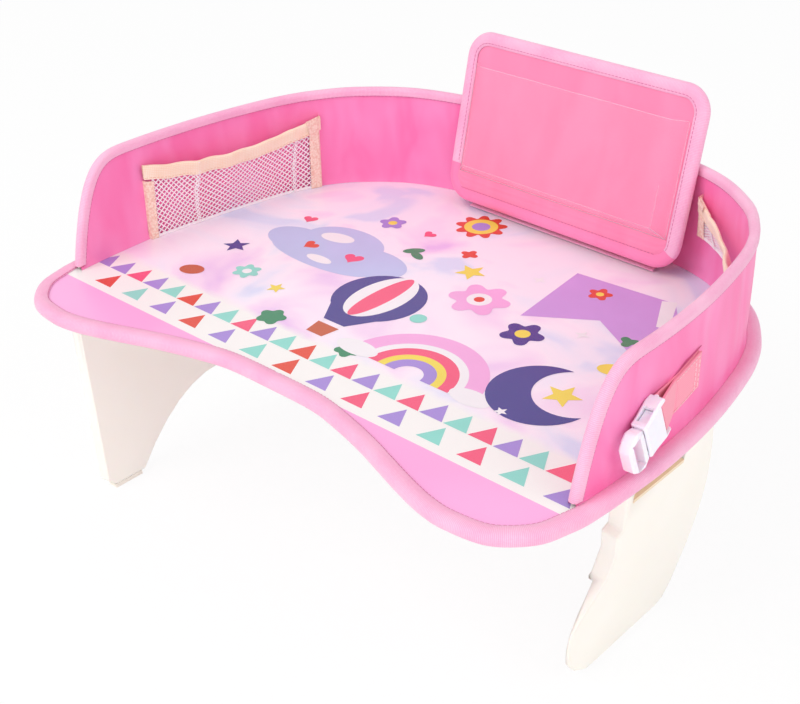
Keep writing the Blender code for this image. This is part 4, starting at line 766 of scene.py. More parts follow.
def net_mesh(side, start, end, wide, tall, off, strand):
    """A thin solid net over part of a pocket's length, pulled a little out of true."""
    built = bmesh.new()
    knots = {}

    def knot(x, y, near):
        key = (round(x, 4), round(y, 4), near)
        if key not in knots:
            share, rise = start + (end - start) * x / wide, y / tall
            pull = math.sin(math.pi * min(max(share, 0.0), 1.0)) * math.sin(math.pi * rise)
            share += (0.009 * math.sin(13 * share + 3 * rise)
                      + 0.004 * math.sin(7 * rise + 5 * side))
            rise += pull * 0.02 * math.sin(17 * share + 2 * rise)
            knots[key] = built.verts.new(
                pocket_place(side, share, rise, off + (NET_THICKNESS if near else 0.0)))
        return knots[key]

    border = {}
    for shape in net_shapes(wide, tall, strand):
        area = sum(a[0] * b[1] - b[0] * a[1] for a, b in zip(shape, shape[1:] + shape[:1]))
        ring = shape if area > 0 else shape[::-1]
        built.faces.new([knot(x, y, True) for x, y in ring])
        built.faces.new([knot(x, y, False) for x, y in reversed(ring)])
        for a, b in zip(ring, ring[1:] + ring[:1]):
            if border.pop((b, a), None) is None:
                border[(a, b)] = True
    for a, b in border:
        built.faces.new((knot(*a, False), knot(*b, False), knot(*b, True), knot(*a, True)))
    bmesh.ops.recalc_face_normals(built, faces=built.faces)
    return built


# Knitted polyester net: white yarn with a little lustre, slightly warm from the light that
# passes through it.
net_yarn = mottled("knitted_polyester_net", "#FFF9FA", 0.6, 0.8 * mm, "#FBE6EC", "#FFFDFD",
                   (0.4, 0.2 * mm), Sheen_Weight=0.3, Subsurface_Weight=0.1,
                   Subsurface_Scale=0.001)

# Peach tape: a soft plain-woven polyester, matt, with a faint thread 0.8 mm apart, drawn at
# 1.2 mm.
PEACH_THREAD = 1.2 * mm
peach_tape, tree, shader, here = finish("plain_woven_peach_tape", "#FFE6CE", 0.72,
                                        Sheen_Weight=0.25, Sheen_Roughness=0.45)
mapped = add(tree, "UVMap", uv_map="metres")
weave = plain_weave(tree, mapped.outputs[0], PEACH_THREAD)
cloudy = add(tree, "TexNoise", {"Vector": here, "Scale": 1 / (9 * mm), "Detail": 2.0})
mixed = add(tree, "Math", {0: weave.outputs[0], 1: cloudy.outputs["Fac"]}, operation="ADD")
level = add(tree, "MapRange", {0: mixed.outputs[0], 1: 0.3, 2: 1.3})
lay_on(tree, shader, weave.outputs[0], 0.3, 0.2 * mm, level.outputs[0], "#FAD7B8", "#FFEEDC")
peach_thread = mottled("spun_polyester_thread_peach", "#E9B58F", 0.6, THREAD_TWIST, "#DDA27C",
                       "#F2C7A4")

# The end bands are the same tape with the net caught in its weave, so that it looks speckled.
netted_tape, tree, shader, here = finish("peach_tape_over_net", "#F8D6C0", 0.8, Sheen_Weight=0.2)
knots = add(tree, "TexVoronoi", {"Vector": here, "Scale": 1 / (1.5 * mm)})
lint = add(tree, "TexNoise", {"Vector": here, "Scale": 1 / (1.1 * mm),
                              "Detail": 3.0, "Roughness": 0.7})
rough = add(tree, "Math", {0: knots.outputs["Distance"], 1: lint.outputs["Fac"]},
            operation="MULTIPLY")
level = add(tree, "MapRange", {0: rough.outputs[0], 1: 0.05, 2: 0.42})
lay_on(tree, shader, rough.outputs[0], 0.6, 0.3 * mm, level.outputs[0], "#FFE9D8", "#F2C3AF")

POCKET_TAPE_DROP = 8.5 * mm
POCKET_STEPS = 60
FRONT_BAND_WIDTH = 5.5 * mm
REAR_BAND_WIDTH = 9 * mm
POCKET_TAPE_SECTION = (
    (-0.9, -8.5), (-1.15, -7.6), (-1.0, -6.8), (-1.2, -4.0), (-1.25, -1.2), (-1.0, 0.3),
    (-0.4, 0.95), (0.4, 0.95), (1.0, 0.3), (1.25, -1.2), (1.2, -4.0), (1.0, -6.8), (1.15, -7.6),
    (0.9, -8.5),
)
for side, word in ((1, "right"), (-1, "left")):
    net = piece(word + "_net", net_mesh(side, 0.02, 0.98, 2 * NET_MESHES_WIDE,
                                        2 * NET_MESHES_TALL, 0.0, NET_STRAND),
                net_yarn, "tray", [word + "_pocket_net"], sharp=60)
    for number, (at, width) in enumerate(PLEATS, 1):
        piece(f"{word}_net_pleat_{number}",
                           net_mesh(side, at - width / 2, at + width / 2, 2,
                                    2 * NET_MESHES_TALL + 7, 0.8 * mm, PLEAT_STRAND),
                           net_yarn, "tray", sharp=60)
    hem = []
    for i in range(POCKET_STEPS + 1):
        share = 0.02 + 0.96 * i / POCKET_STEPS
        foot = pocket_place(side, share, 0.0, NET_THICKNESS + 0.25 * mm)
        hem.append([foot + Vector((0.0, 0.0, (-0.8 + 0.5 * k) * mm)) for k in range(5)])
    piece(word + "_net_hem", cloth(hem if side > 0 else hem[::-1]), net_yarn,
                       "tray")

    rows = []
    for i in range(POCKET_STEPS + 1):
        share = i / POCKET_STEPS
        top = pocket_place(side, share, 1.0, NET_THICKNESS / 2)
        drop = POCKET_TAPE_DROP / (pocket_top(share) - pocket_foot(side, share))
        below = pocket_place(side, share, 1 - drop, NET_THICKNESS / 2)
        up = (top - below).normalized()
        run = pocket_place(side, share + 0.01, 1.0) - pocket_place(side, share - 0.01, 1.0)
        over = up.cross(run).normalized() * side
        sag = 0.35 * mm * math.sin(share * 40.0)
        rows.append([top + over * a * mm + up * (b * mm + sag) for a, b in POCKET_TAPE_SECTION])
    facing = []
    for i, row in enumerate(rows):
        run = rim_run(side, POCKET_STARTS[side] + POCKET_LENGTH * i / POCKET_STEPS)
        inwards = (rim_place(run, -30 * mm) - rim_place(run)).normalized()
        facing.append((row[0] + row[-1]) / 2 + inwards * 1.1 * mm + Vector((0.0, 0.0, 1.2 * mm)))
    top_tape = piece(word + "_pocket_top_binding", cloth(rows if side > 0 else rows[::-1]),
                     peach_tape, "tray", [word + "_pocket_top_tape"], sharp=70)
    stitches(word + "_pocket_top_stitches", facing, peach_thread, "tray")
    # Each end band covers the end of the net. The rear one flares a little over the top tape.
    for which, end, wide, steps in (("front", 0.0, FRONT_BAND_WIDTH, 17),
                                    ("rear", 1.0, REAR_BAND_WIDTH, 23)):
        rows = []
        for c in range(9):
            row = []
            for r in range(steps):
                up = r / 20
                flare = 1 + 0.35 * max(up - 0.8, 0.0) / 0.3
                share = abs(end - wide / POCKET_LENGTH * flare * c / 8)
                off = 0.9 * mm + (1.1 * mm * eased((up - 0.75) / 0.15) if end else 0.0)
                if c == 0:
                    off = -1.6 * mm
                off += 0.12 * mm * math.sin(r * 2.1 + c)
                lift = max(up - 1.0, 0.0) * 24 * mm - (0.8 * mm if r == 0 else 0.0)
                row.append(pocket_place(side, share, min(up, 1.0), off)
                           + Vector((0.0, 0.0, lift)))
            rows.append(row)
        if (which == "rear") != (side < 0):
            rows = rows[::-1]
        made = piece(f"{word}_pocket_{which}_band", cloth(rows), netted_tape, "tray",
                     [f"{word}_pocket_{which}_tape"], sharp=60)

# Phone holder. A padded panel stands on a sewn foot and leans back on the rim. A board lies
# between two leather panels, a ribbed tape binds the top and the sides, and the leather itself
# wraps round the lower edge, ribbed with three sewn lines.
HOLDER_WIDTH = 180 * mm
HOLDER_HEIGHT = 110 * mm
HOLDER_CORNER = 17 * mm
HOLDER_INSET = 1.4 * mm
HOLDER_LEAN = math.radians(13)


def joint(name, entry):
    """The place (pos_m) or the axis of a joint."""
    return Vector(next(j for j in frame["joints"] if j["name"] == name)[entry])


HOLDER_FOOT = joint("holder_tilt", "pos_m")
ACROSS = joint("holder_tilt", "axis").normalized()
BACKWARDS = Vector((-ACROSS.y, ACROSS.x, 0.0))
UP = Vector((0.0, 0.0, math.cos(HOLDER_LEAN))) + BACKWARDS * math.sin(HOLDER_LEAN)
FRONT = ACROSS.cross(UP)


def on_holder(x, y, out):
    """A point of the holder, across it, up its face and out of its middle."""
    return HOLDER_FOOT + ACROSS * x + UP * y + FRONT * out


def holder_loop(inset, steps):
    """Anticlockwise (point, outward normal) pairs round the holder's face, from mid-foot."""
    radius = HOLDER_CORNER - inset
    side, low = HOLDER_WIDTH / 2 - HOLDER_CORNER, HOLDER_CORNER
    high = HOLDER_HEIGHT - HOLDER_CORNER
    found = [(Vector((side * i / 12, inset, 0.0)), Vector((0.0, -1.0, 0.0))) for i in range(12)]
    runs = ((side, low), (side, high), (-side, high), (-side, low))
    for quarter, (x, y) in enumerate(runs):
        for i in range(steps + 1):
            angle = (quarter - 1 + i / steps) * math.pi / 2
            way = Vector((math.cos(angle), math.sin(angle), 0.0))
            found.append((Vector((x, y, 0.0)) + way * radius, way))
        nx, ny = runs[(quarter + 1) % 4]
        last = found[-1]
        ahead = Vector((nx - x, ny - y, 0.0))
        if quarter == 3:
            ahead = Vector((-x, 0.0, 0.0))
        found += [(last[0] + ahead * i / 12, last[1]) for i in range(1, 12)]
    return found


holder_leather = grained_leather("polyurethane_leather_pink", "#FF91B8", "#FD89B1", 0.4)


def holder_panel(name, out, crown, material, stands_for):
    """A leather panel, a little crowned by the foam under it."""
    built = bmesh.new()
    ring = holder_loop(HOLDER_INSET, 8)
    centre = Vector((0.0, HOLDER_HEIGHT / 2, 0.0))
    levels = []
    for share in (1.0, 0.93, 0.84, 0.7, 0.5, 0.25):
        lift = out + crown * (1 - share ** 6)
        levels.append([
            built.verts.new(on_holder(*((p - centre) * share + centre).xy, lift)) for p, _ in ring
        ])
    top = built.verts.new(on_holder(0.0, HOLDER_HEIGHT / 2, out + crown))
    for a, b in zip(levels, levels[1:]):
        for i in range(len(ring)):
            j = (i + 1) % len(ring)
            built.faces.new((a[i], a[j], b[j], b[i]))
    for i in range(len(ring)):
        built.faces.new((levels[-1][i], levels[-1][(i + 1) % len(ring)], top))
    if out < 0:
        for face in built.faces:
            face.normal_flip()
    made = piece(name, built, material, "holder", stands_for, sharp=60)


holder_panel("holder_face", 1.6 * mm, 0.8 * mm, holder_leather, ["holder_front_panel"])
holder_panel("holder_back", -1.6 * mm, -0.8 * mm, pink_leather, ["holder_back_panel"])

HOLDER_TAPE_SECTION = (
    (2.35, -7.1), (3.1, -6.4), (2.9, -5.4), (3.3, -4.0), (3.35, -2.0), (3.0, -0.2), (2.2, 0.9),
    (1.1, 1.4), (0.0, 1.55), (-1.1, 1.4), (-2.2, 0.9), (-3.0, -0.2), (-3.35, -2.0),
    (-3.3, -4.0), (-2.9, -5.4), (-3.1, -6.4), (-2.35, -7.1),
)
HOLDER_SEAM_INSET = 5.3 * mm
ring = holder_loop(HOLDER_INSET, 10)
ring += ring[:1]
rows = [
    [on_holder(p.x + n.x * b * mm, p.y + n.y * b * mm, a * mm) for a, b in HOLDER_TAPE_SECTION]
    for p, n in ring
]
# The taped part starts on the right-hand side just over the lower corner, and ends on the left
# side 20 mm over the foot.
taped = [i for i, (p, n) in enumerate(ring)
         if (p.x > 0 and p.y > 9 * mm) or (p.x <= 0 and p.y > 21 * mm)]
first, last = taped[0], taped[-1]
holder_tape = piece("holder_tape", cloth(rows[first:last + 1]), pink_tape, "holder",
                    ["holder_binding"], sharp=70)
for word, out in (("front", 3.0 * mm), ("back", -3.0 * mm)):
    seam = [on_holder(*(p - n * HOLDER_SEAM_INSET).xy, out) for p, n in ring[first:last + 1]]
    stitches(f"holder_{word}_stitches", seam, pink_thread_and_seam_shade, "holder")

# Lower edge of the holder: the leather wraps round it, a little tighter than the tape, and up
# the face as a band that ends 18.6 mm over the foot.
WRAP_SHARE = 0.97 * mm
LIP_FOOT = 7.2 * mm
LIP_TOP = 18.6 * mm
LIP_CORNER = 7.5 * mm
lower_rows = []
for i in list(range(last - len(ring) + 1, 0)) + list(range(first + 1)):
    p, n = ring[i if i >= 0 else i - 1]
    lower_rows.append([
        on_holder(*(p + n * b * WRAP_SHARE).xy, a * WRAP_SHARE)
        for a, b in HOLDER_TAPE_SECTION
    ])
lower_leather = grained_leather("polyurethane_leather_deep_pink", "#FF8CBC", "#FD86B7", 0.4)
lower_wrap = piece("holder_lower_wrap", cloth(lower_rows), lower_leather, "holder", (),
                   sharp=70)
lip_rows = []
for i in range(49):
    x = (i / 48 - 0.5) * (HOLDER_WIDTH - 16 * mm)
    rise = 0.0
    corner = HOLDER_WIDTH / 2 - HOLDER_CORNER
    if abs(x) > corner:
        rise = HOLDER_CORNER - math.sqrt(
            max((HOLDER_CORNER - LIP_CORNER) ** 2 - (abs(x) - corner) ** 2, 0.0))
        rise = max(rise - LIP_CORNER, 0.0)
    row = []
    for r in range(15):
        share = r / 14
        low, high = LIP_FOOT + rise, LIP_TOP
        ridge = 0.18 * mm * max(math.cos(share * math.pi * 6), 0.0) ** 2
        edge = 0.5 * mm * min(1.0, min(share, 1 - share) * 9)
        row.append(on_holder(x, low + (high - low) * share, 2.5 * mm + edge + ridge))
    lip_rows.append(row)
lip = piece("holder_lip", cloth(lip_rows[::-1]), holder_leather, "holder", ["holder_lower_lip"],
            sharp=60)
stitches("holder_lip_stitches",
         [on_holder((i / 40 - 0.5) * (HOLDER_WIDTH - 24 * mm), 8.3 * mm, 3.1 * mm)
          for i in range(41)], pink_thread_and_seam_shade, "holder")

# Holder window. A clear PVC sheet is welded and sewn down on three sides and stays open along
# the top, where a phone slides in. It is stiff, so its lower corners stand up in sharp folds.
WINDOW_LEFT = -HOLDER_WIDTH / 2 + 9.2 * mm
WINDOW_RIGHT = HOLDER_WIDTH / 2 - 9.6 * mm
WINDOW_FOOT = 19 * mm
WINDOW_TOP = HOLDER_HEIGHT - 21 * mm
WINDOW_DEPTH = 7.2 * mm
WINDOW_SIDE = 5.5 * mm
SIDE_FOLD = 7.5 * mm
FOOT_FOLD = 5.5 * mm
clear_vinyl, tree, shader, here = finish("clear_pvc_window", "#FFF0F6", 0.06, IOR=1.53, Alpha=0.08)
wave = add(tree, "TexNoise", {"Vector": here, "Scale": 1 / (40 * mm), "Distortion": 0.4})
# Painted reflection: the pale sheet turns more opaque towards grazing angles, standing for its
# glare.
facing = add(tree, "LayerWeight", {"Blend": 0.3})
glare_opacity = add(tree, "MapRange", {0: facing.outputs["Facing"], 1: 0.2, 2: 1.0, 3: 0.05, 4: 0.4})
tree.links.new(glare_opacity.outputs[0], shader.inputs["Alpha"])
lay_on(tree, shader, wave.outputs["Fac"], 0.2, 1.0 * mm)


def window_place(x, y):
    """A point of the sheet, which stands off the face like a shallow box without a lid."""
    from_left, from_right = x - WINDOW_LEFT, WINDOW_RIGHT - x
    stand = min(max((min(from_left, from_right) - 2 * mm) / WINDOW_SIDE, 0.0), 1.0)
    rise = min(max((y - WINDOW_FOOT - 1 * mm) / (4.5 * mm), 0.0), 1.0)
    sway = 0.4 * mm * math.sin(x * 100 + y * 90)
    pucker = (0.7 * mm * math.exp(-from_right / (9 * mm)) * math.sin(y * 620)
              + 0.4 * mm * math.exp(-from_left / (7 * mm)) * math.sin(y * 480))
    return on_holder(x, y, 3.0 * mm + (WINDOW_DEPTH + sway + pucker) * min(stand, rise))


window_xs = [WINDOW_LEFT + d * mm for d in (0, 2, 3.4, 4.8, 6.2, 7.5)]
window_xs += [WINDOW_LEFT + SIDE_FOLD + (WINDOW_RIGHT - WINDOW_LEFT - 2 * SIDE_FOLD) * i / 40
              for i in range(1, 40)]
window_xs += [WINDOW_RIGHT - d * mm for d in (7.5, 6.2, 4.8, 3.4, 2, 0)]
window_ys = [WINDOW_FOOT + d * mm for d in (0, 1, 2.1, 3.2, 4.3, 5.5)]
window_ys += [WINDOW_FOOT + FOOT_FOLD + (WINDOW_TOP - WINDOW_FOOT - FOOT_FOLD) * i / 26
              for i in range(1, 27)]
window_rows = [[window_place(x, y) for y in window_ys] for x in window_xs]
window = piece("holder_clear_window", cloth(window_rows[::-1]), clear_vinyl, "holder",
               ["holder_window"], sharp=25)

# Weld, cut and folded edges of the window: along each, a thin pale bead that is more opaque than
# the sheet is a painted highlight, standing for where the sheet catches the light.
glint_vinyl = mottled("pvc_painted_glint", "#FFD3E4", 0.18, 2 * mm, "#FFB9D3", "#FFEDF4",
                     IOR=1.53, Alpha=0.45)


def bead(word, path, radius):
    """A thin round line along an edge or a fold of the window, in the pale painted highlight."""
    rows = []
    for i, point in enumerate(path):
        ahead = path[min(i + 1, len(path) - 1)] - path[max(i - 1, 0)]
        step = ahead.normalized()
        side = step.cross(FRONT).normalized()
        other = step.cross(side)
        rows.append([point + side * math.cos(math.pi * k / 3) * radius
                     + other * math.sin(math.pi * k / 3) * radius for k in range(6)])
    return piece("holder_window_" + word, cloth(rows, tube=True), glint_vinyl, "holder",
                 sharp=70)


edges = [bead("mouth", [row[-1] for row in window_rows], 0.18 * mm)]
for word, edge, inner in (("left", WINDOW_LEFT, WINDOW_LEFT + SIDE_FOLD),
                          ("right", WINDOW_RIGHT, WINDOW_RIGHT - SIDE_FOLD)):
    corner = window_place(inner, WINDOW_FOOT + FOOT_FOLD)
    weld = window_place(edge, WINDOW_FOOT)
    side_fold = [corner.lerp(weld, i / 4) for i in range(5)]
    up_fold = [window_place(inner, WINDOW_FOOT + FOOT_FOLD + 2 * i * mm) for i in range(14)]
    edges.append(bead(word + "_corner_fold", side_fold, 0.3 * mm))
    edges.append(bead(word + "_side_fold", up_fold, 0.16 * mm))
foot_fold = [window_place(x, WINDOW_FOOT + FOOT_FOLD) for x in window_xs[5:-5]]
edges.append(bead("foot_fold", foot_fold, 0.14 * mm))
outline = window_rows[0][::-1] + [row[0] for row in window_rows[1:]] + window_rows[-1][1:]
edges.append(bead("weld", outline, 0.22 * mm))

# Foot tape of the holder: a strip of the ribbed tape, sewn flat to the tray under the holder,
# on which the holder tilts.
foot_rows = []
for i in range(49):
    x = (i / 48 - 0.5) * (HOLDER_WIDTH - 2 * HOLDER_CORNER)
    row = []
    for y, z in ((2.5, 146.1), (2.9, 146.8), (5.5, 147.0), (8.5, 147.15), (11.5, 147.0),
                 (14.1, 146.8), (14.5, 146.1)):
        spot = HOLDER_FOOT + ACROSS * x + BACKWARDS * y * mm
        row.append(Vector((spot.x, spot.y, z * mm)))
    foot_rows.append(row)
foot_tape = piece("holder_foot_strip", cloth(foot_rows), pink_tape, "tray",
                  ["holder_foot_tape"], sharp=70)

# Buckle straps. A band of webbing is folded through the bar of each buckle, and its doubled end
# is sewn flat to the outside of the rim.
STRAP_WIDTH = 20 * mm
STRAP_THICKNESS = 1.1 * mm
STRAP_CENTRE = 31 * mm
STRAP_SAG = 5 * mm
STRAP_REAR = (141 - 47) * mm
STRAP_FRONT = (141 - 31 - 47) * mm
BAR_FROM_END = (101 - 47) * mm
BAR_HEIGHT = 27 * mm
BAR_OUT = 4.6 * mm
BAR_CLEARANCE = 2.3 * mm
BUCKLE_DROOP = math.radians(22)

# Polypropylene webbing: a flat woven band with ribs across it 1 mm apart, in a salmon pink that
# is duller than the leather.
webbing, tree, shader, here = finish("polypropylene_webbing", "#FF98AF", 0.7, Sheen_Weight=0.2)
mapped = add(tree, "UVMap", uv_map="metres")
ribs = add(tree, "TexWave", {"Vector": mapped.outputs[0], "Scale": WAVE_SCALE / (1.0 * mm),
                             "Distortion": 0.5, "Detail": 1.0}, bands_direction="X")
wale = add(tree, "TexWave", {"Vector": mapped.outputs[0], "Scale": WAVE_SCALE / (1.3 * mm)},
           bands_direction="Y")
weave = add(tree, "Math", {0: ribs.outputs["Fac"], 1: wale.outputs["Fac"]}, operation="ADD")
level = add(tree, "MapRange", {0: weave.outputs[0], 1: 0.2, 2: 1.8})
lay_on(tree, shader, weave.outputs[0], 0.25, 0.15 * mm, level.outputs[0], "#FA8CA6", "#FFA4B9")
salmon_thread = mottled("spun_polyester_thread_salmon", "#FFB9C8", 0.55, THREAD_TWIST, "#FFBCCA",
                        "#FFDCE3")

# Over the strap, where the outer leather is gathered in a seam, a thin bead of deep pink leather
# runs along the strap's upper edge: a painted shadow line for the shade in that seam.
seam_shadow_leather = mottled("painted_seam_shadow", "#D2487F", 0.6, 1.5 * mm, "#C03C70", "#E05A92")

for side, word in ((1, "right"), (-1, "left")):
    bar = rim_place(rim_run(side, BAR_FROM_END), RIM_HALF + BAR_OUT, FILM_TOP + BAR_HEIGHT)
    ahead = Vector((0.0, -math.cos(BUCKLE_DROOP), -math.sin(BUCKLE_DROOP)))
    out = Vector((float(side), 0.0, 0.0))
    upright = Vector((0.0, 0.0, 1.0))
    tilted = Vector((0.0, -math.sin(BUCKLE_DROOP), math.cos(BUCKLE_DROOP)))

    def sewn(share, layer):
        run = rim_run(side, STRAP_REAR + (STRAP_FRONT - STRAP_REAR) * share)
        return rim_place(run, RIM_HALF + layer, FILM_TOP + STRAP_CENTRE - STRAP_SAG * share)

    # The band's course: sewn flat, then under the bar, round it and back over itself.
    course = [(sewn(i / 10, 1.0 * mm), upright) for i in range(10)]
    for i in range(9):
        angle = math.pi * i / 8
        course.append((bar + ahead * math.sin(angle) * BAR_CLEARANCE
                       - out * math.cos(angle) * BAR_CLEARANCE, tilted))
    course += [(sewn(1 - i / 10, 2.3 * mm), upright) for i in range(2, 11)]
    centres = smooth_loop([spot for spot, _ in course], 4)[:4 * (len(course) - 1) + 1]
    rows = []
    for i, centre in enumerate(centres):
        first, last = course[i // 4], course[min(i // 4 + 1, len(course) - 1)]
        level = first[1].lerp(last[1], i % 4 / 4).normalized()
        step = centres[min(i + 1, len(centres) - 1)] - centres[max(i - 1, 0)]
        away = step.cross(level).normalized() * STRAP_THICKNESS / 2
        low, high = level * -STRAP_WIDTH / 2, level * STRAP_WIDTH / 2
        rows.append([centre + low * 0.98 - away]
                    + [centre + low.lerp(high, c / 6) - away for c in range(1, 6)]
                    + [centre + high * 0.98 - away, centre + high, centre + high * 0.98 + away]
                    + [centre + high.lerp(low, c / 6) + away for c in range(1, 6)]
                    + [centre + low * 0.98 + away, centre + low])
    strap = piece(word + "_webbing", cloth(rows, tube=True), webbing, "tray", [word + "_strap"],
                  sharp=50)
    for number, at in enumerate((0.06, 0.17), 1):
        line = [sewn(at, 3.0 * mm) + upright * STRAP_WIDTH * (k / 10 - 0.5) * 0.86
                for k in range(11)]
        stitches(f"{word}_strap_stitches_{number}", line, salmon_thread, "tray",
                              radius=0.34 * mm)
    for number, at in enumerate((-0.43, 0.43), 3):
        line = [sewn(k / 20, 3.0 * mm) + upright * STRAP_WIDTH * at for k in range(1, 18)]
        stitches(f"{word}_strap_stitches_{number}", line, salmon_thread, "tray")
    # A painted shadow line: a thin dark bead just over the strap's upper edge.
    shadow_path = [rim_place(rim_run(side, STRAP_REAR + 3 * mm - 38 * mm * i / 30),
                      RIM_HALF + 0.75 * mm,
                      FILM_TOP + STRAP_CENTRE + STRAP_WIDTH / 2 + 0.9 * mm - 7.5 * mm * i / 30
                      + 0.7 * mm * math.sin(i / 7)) for i in range(31)]
    rows = [[spot + out * 0.35 * mm * math.sin(math.pi * k / 4)
             + upright * (0.2 + 0.25 * math.sin(math.pi * i / 30)) * mm * math.cos(math.pi * k / 4)
             for k in range(5)] for i, spot in enumerate(shadow_path)]
    shadow_line = piece(word + "_strap_seam_shadow", cloth(rows if side < 0 else rows[::-1]), seam_shadow_leather,
                 "tray", sharp=70)

# Buckles. Each side-release buckle is two acetal mouldings: a socket on the strap's bar, with
# open sides, and a clip with a tongue and two arms and a slot for the seat's strap.
BUCKLE_ROUNDING = 0.3 * mm
TIP_ALONG = 7.3 * mm
TIP_ACROSS = 7.8 * mm
TIP_HALF_SIZES = (0.75 * mm, 1.1 * mm, 2.3 * mm)


def moulded(node, name, material, body, sharp=50, rounded=0.0):
    """A solid with its flats joined and its narrow bevels shaded as rounded edges."""
    built = bmesh.new()
    built.from_mesh(frame["nodes"][node].data)
    bmesh.ops.remove_doubles(built, verts=built.verts, dist=0.002 * mm)
    bmesh.ops.dissolve_limit(built, angle_limit=math.radians(0.5), verts=built.verts,
                             edges=built.edges)
    bmesh.ops.triangulate(built, faces=[f for f in built.faces if len(f.verts) > 4])
    made = piece(name, built, material, body, [node], sharp)
    if rounded:
        softened = made.modifiers.new("soft edges", "BEVEL")
        softened.width = rounded
        softened.segments = 2
        softened.limit_method = "ANGLE"
    weighted = made.modifiers.new("flat faces", "WEIGHTED_NORMAL")
    weighted.keep_sharp = True
    return made


# Acetal: white and slightly waxy, with light that sinks in a little and leaves lilac shadows.
acetal = mottled("white_acetal", "#FBF5FF", 0.34, 6 * mm, "#F6EEFC", "#FCF8FF", (0.1, 0.2 * mm),
                 IOR=1.48, Subsurface_Weight=0.15, Subsurface_Scale=0.003)
for word in ("right", "left"):
    for kind, body in (("socket", "buckle"), ("clip", "clip")):
        moulded(f"{word}_buckle_{kind}", f"{word}_{kind}", acetal, f"{word}_{body}",
                80, BUCKLE_ROUNDING)
    # The hooked tips of the clip's two arms fill the far ends of the socket's side openings.
    bar = joint(word + "_buckle_flap", "pos_m")
    along = joint(word + "_buckle_release", "axis").normalized()
    across = Vector((0.0, -math.sin(BUCKLE_DROOP), math.cos(BUCKLE_DROOP)))
    out = across.cross(along).normalized()
    tips = bmesh.new()
    for way in (-1, 1):
        middle = bar + along * TIP_ALONG + across * way * TIP_ACROSS
        long, high, deep = TIP_HALF_SIZES
        corners = [
            tips.verts.new(middle + along * a * long + across * b * high + out * c * deep)
            for c in (-1, 1) for a, b in ((-1, -1), (1, -1), (1, 1), (-1, 1))
        ]
        for quad in ((3, 2, 1, 0), (4, 5, 6, 7), (0, 1, 5, 4), (1, 2, 6, 5), (2, 3, 7, 6),
                     (3, 0, 4, 7)):
            tips.faces.new([corners[k] for k in quad])
    bmesh.ops.recalc_face_normals(tips, faces=tips.faces)
    piece(word + "_clip_tips", tips, acetal, word + "_clip")

# Leg brackets. A moulded nylon bracket is screwed under each side of the tray. Its barrel fills
# the notch in the leg's top, and a steel pin runs through both.
nylon = mottled("moulded_nylon_tan", "#F0DABC", 0.45, 7 * mm, "#EBD2AE", "#F4E0C6",
                (0.15, 0.2 * mm), 3.0, IOR=1.53)

# Yellow zinc plate: a pale golden metal with a fine turned finish.
plated_steel, tree, shader, here = finish("yellow_zinc_plated_steel", "#EBCF9E", 0.5, Metallic=0.5)
lathe = add(tree, "TexNoise", {"Vector": here, "Scale": 1 / (1.2 * mm), "Detail": 2.0})
lay_on(tree, shader, lathe.outputs["Fac"], 0.2, 0.05 * mm)
for word in ("right", "left"):
    moulded(word + "_hinge_bracket", word + "_bracket", nylon, "tray")
    moulded(word + "_hinge_pin", word + "_pin", plated_steel, "tray", 40)
    for number in range(1, 5):
        moulded(f"{word}_bracket_screw_{number}", f"{word}_screw_{number}", plated_steel, "tray",
                40)

# Bearing strips of the same nylon line the floor of each leg's notch and lap over its outer face,
# where they show as a tan line under the tray's edge.
LEG_LEAN = math.radians(9)
STRIP_SECTION = ((-4.4, 7.05), (5.4, 7.05), (5.4, 9.3), (5.03, 9.3), (5.03, 7.38), (-4.4, 7.38))
for side, word, half in ((1, "right", 22.6 * mm), (-1, "left", 27.6 * mm)):
    hinge = joint(word + "_leg_fold", "pos_m")
    down = Vector((-side * math.sin(LEG_LEAN), 0.0, -math.cos(LEG_LEAN)))
    outward = Vector((side * math.cos(LEG_LEAN), 0.0, -math.sin(LEG_LEAN)))
    rows = [[hinge + outward * out * mm + down * drop * mm
             + Vector((0.0, half * (i / 4 - 1), 0.0)) for out, drop in STRIP_SECTION]
            for i in range(9)]
    piece(word + "_bearing_strip", cloth(rows, tube=True), nylon, word + "_leg_body",
          sharp=40)

# Legs. Each is one thick plate of moulded plastic: an arch on two feet on the left, a broad foot
# on the right. A soft pad under each foot keeps it from sliding.
# ABS in warm cream: satin, with a fine spark-eroded texture 0.5 mm across, drawn at 1.2 mm.
abs_cream, tree, shader, here = finish("moulded_abs_cream", "#FDF8EF", 0.5, IOR=1.53,
                                       Subsurface_Weight=0.08, Subsurface_Scale=0.004)
spark = add(tree, "TexNoise", {"Vector": here, "Scale": 1 / (1.2 * mm), "Detail": 2.0})
cloudy = add(tree, "TexNoise", {"Vector": here, "Scale": 1 / (45 * mm), "Detail": 2.0})
lay_on(tree, shader, spark.outputs["Fac"], 0.12, 0.2 * mm,
        cloudy.outputs["Fac"], "#FAF4EA", "#FEFAF3")

# EVA foam pads: matt and slightly darker, with open pores.
foam_pad, tree, shader, here = finish("eva_foam_pad", "#FBF5EA", 0.9)
pores = add(tree, "TexVoronoi", {"Vector": here, "Scale": 1 / (1.0 * mm)})
lay_on(tree, shader, pores.outputs["Distance"], 0.4, 0.2 * mm,
        pores.outputs["Distance"], "#F6EFE2", "#FDF8EF")
for word, pads in (("left", ("left_front_foot", "left_rear_foot")), ("right", ("right_foot",))):
    moulded(word + "_leg", word + "_leg_plate", abs_cream, word + "_leg_body")
    for pad in pads:
        moulded(pad + "_pad", pad + "_foam", foam_pad, word + "_leg_body")

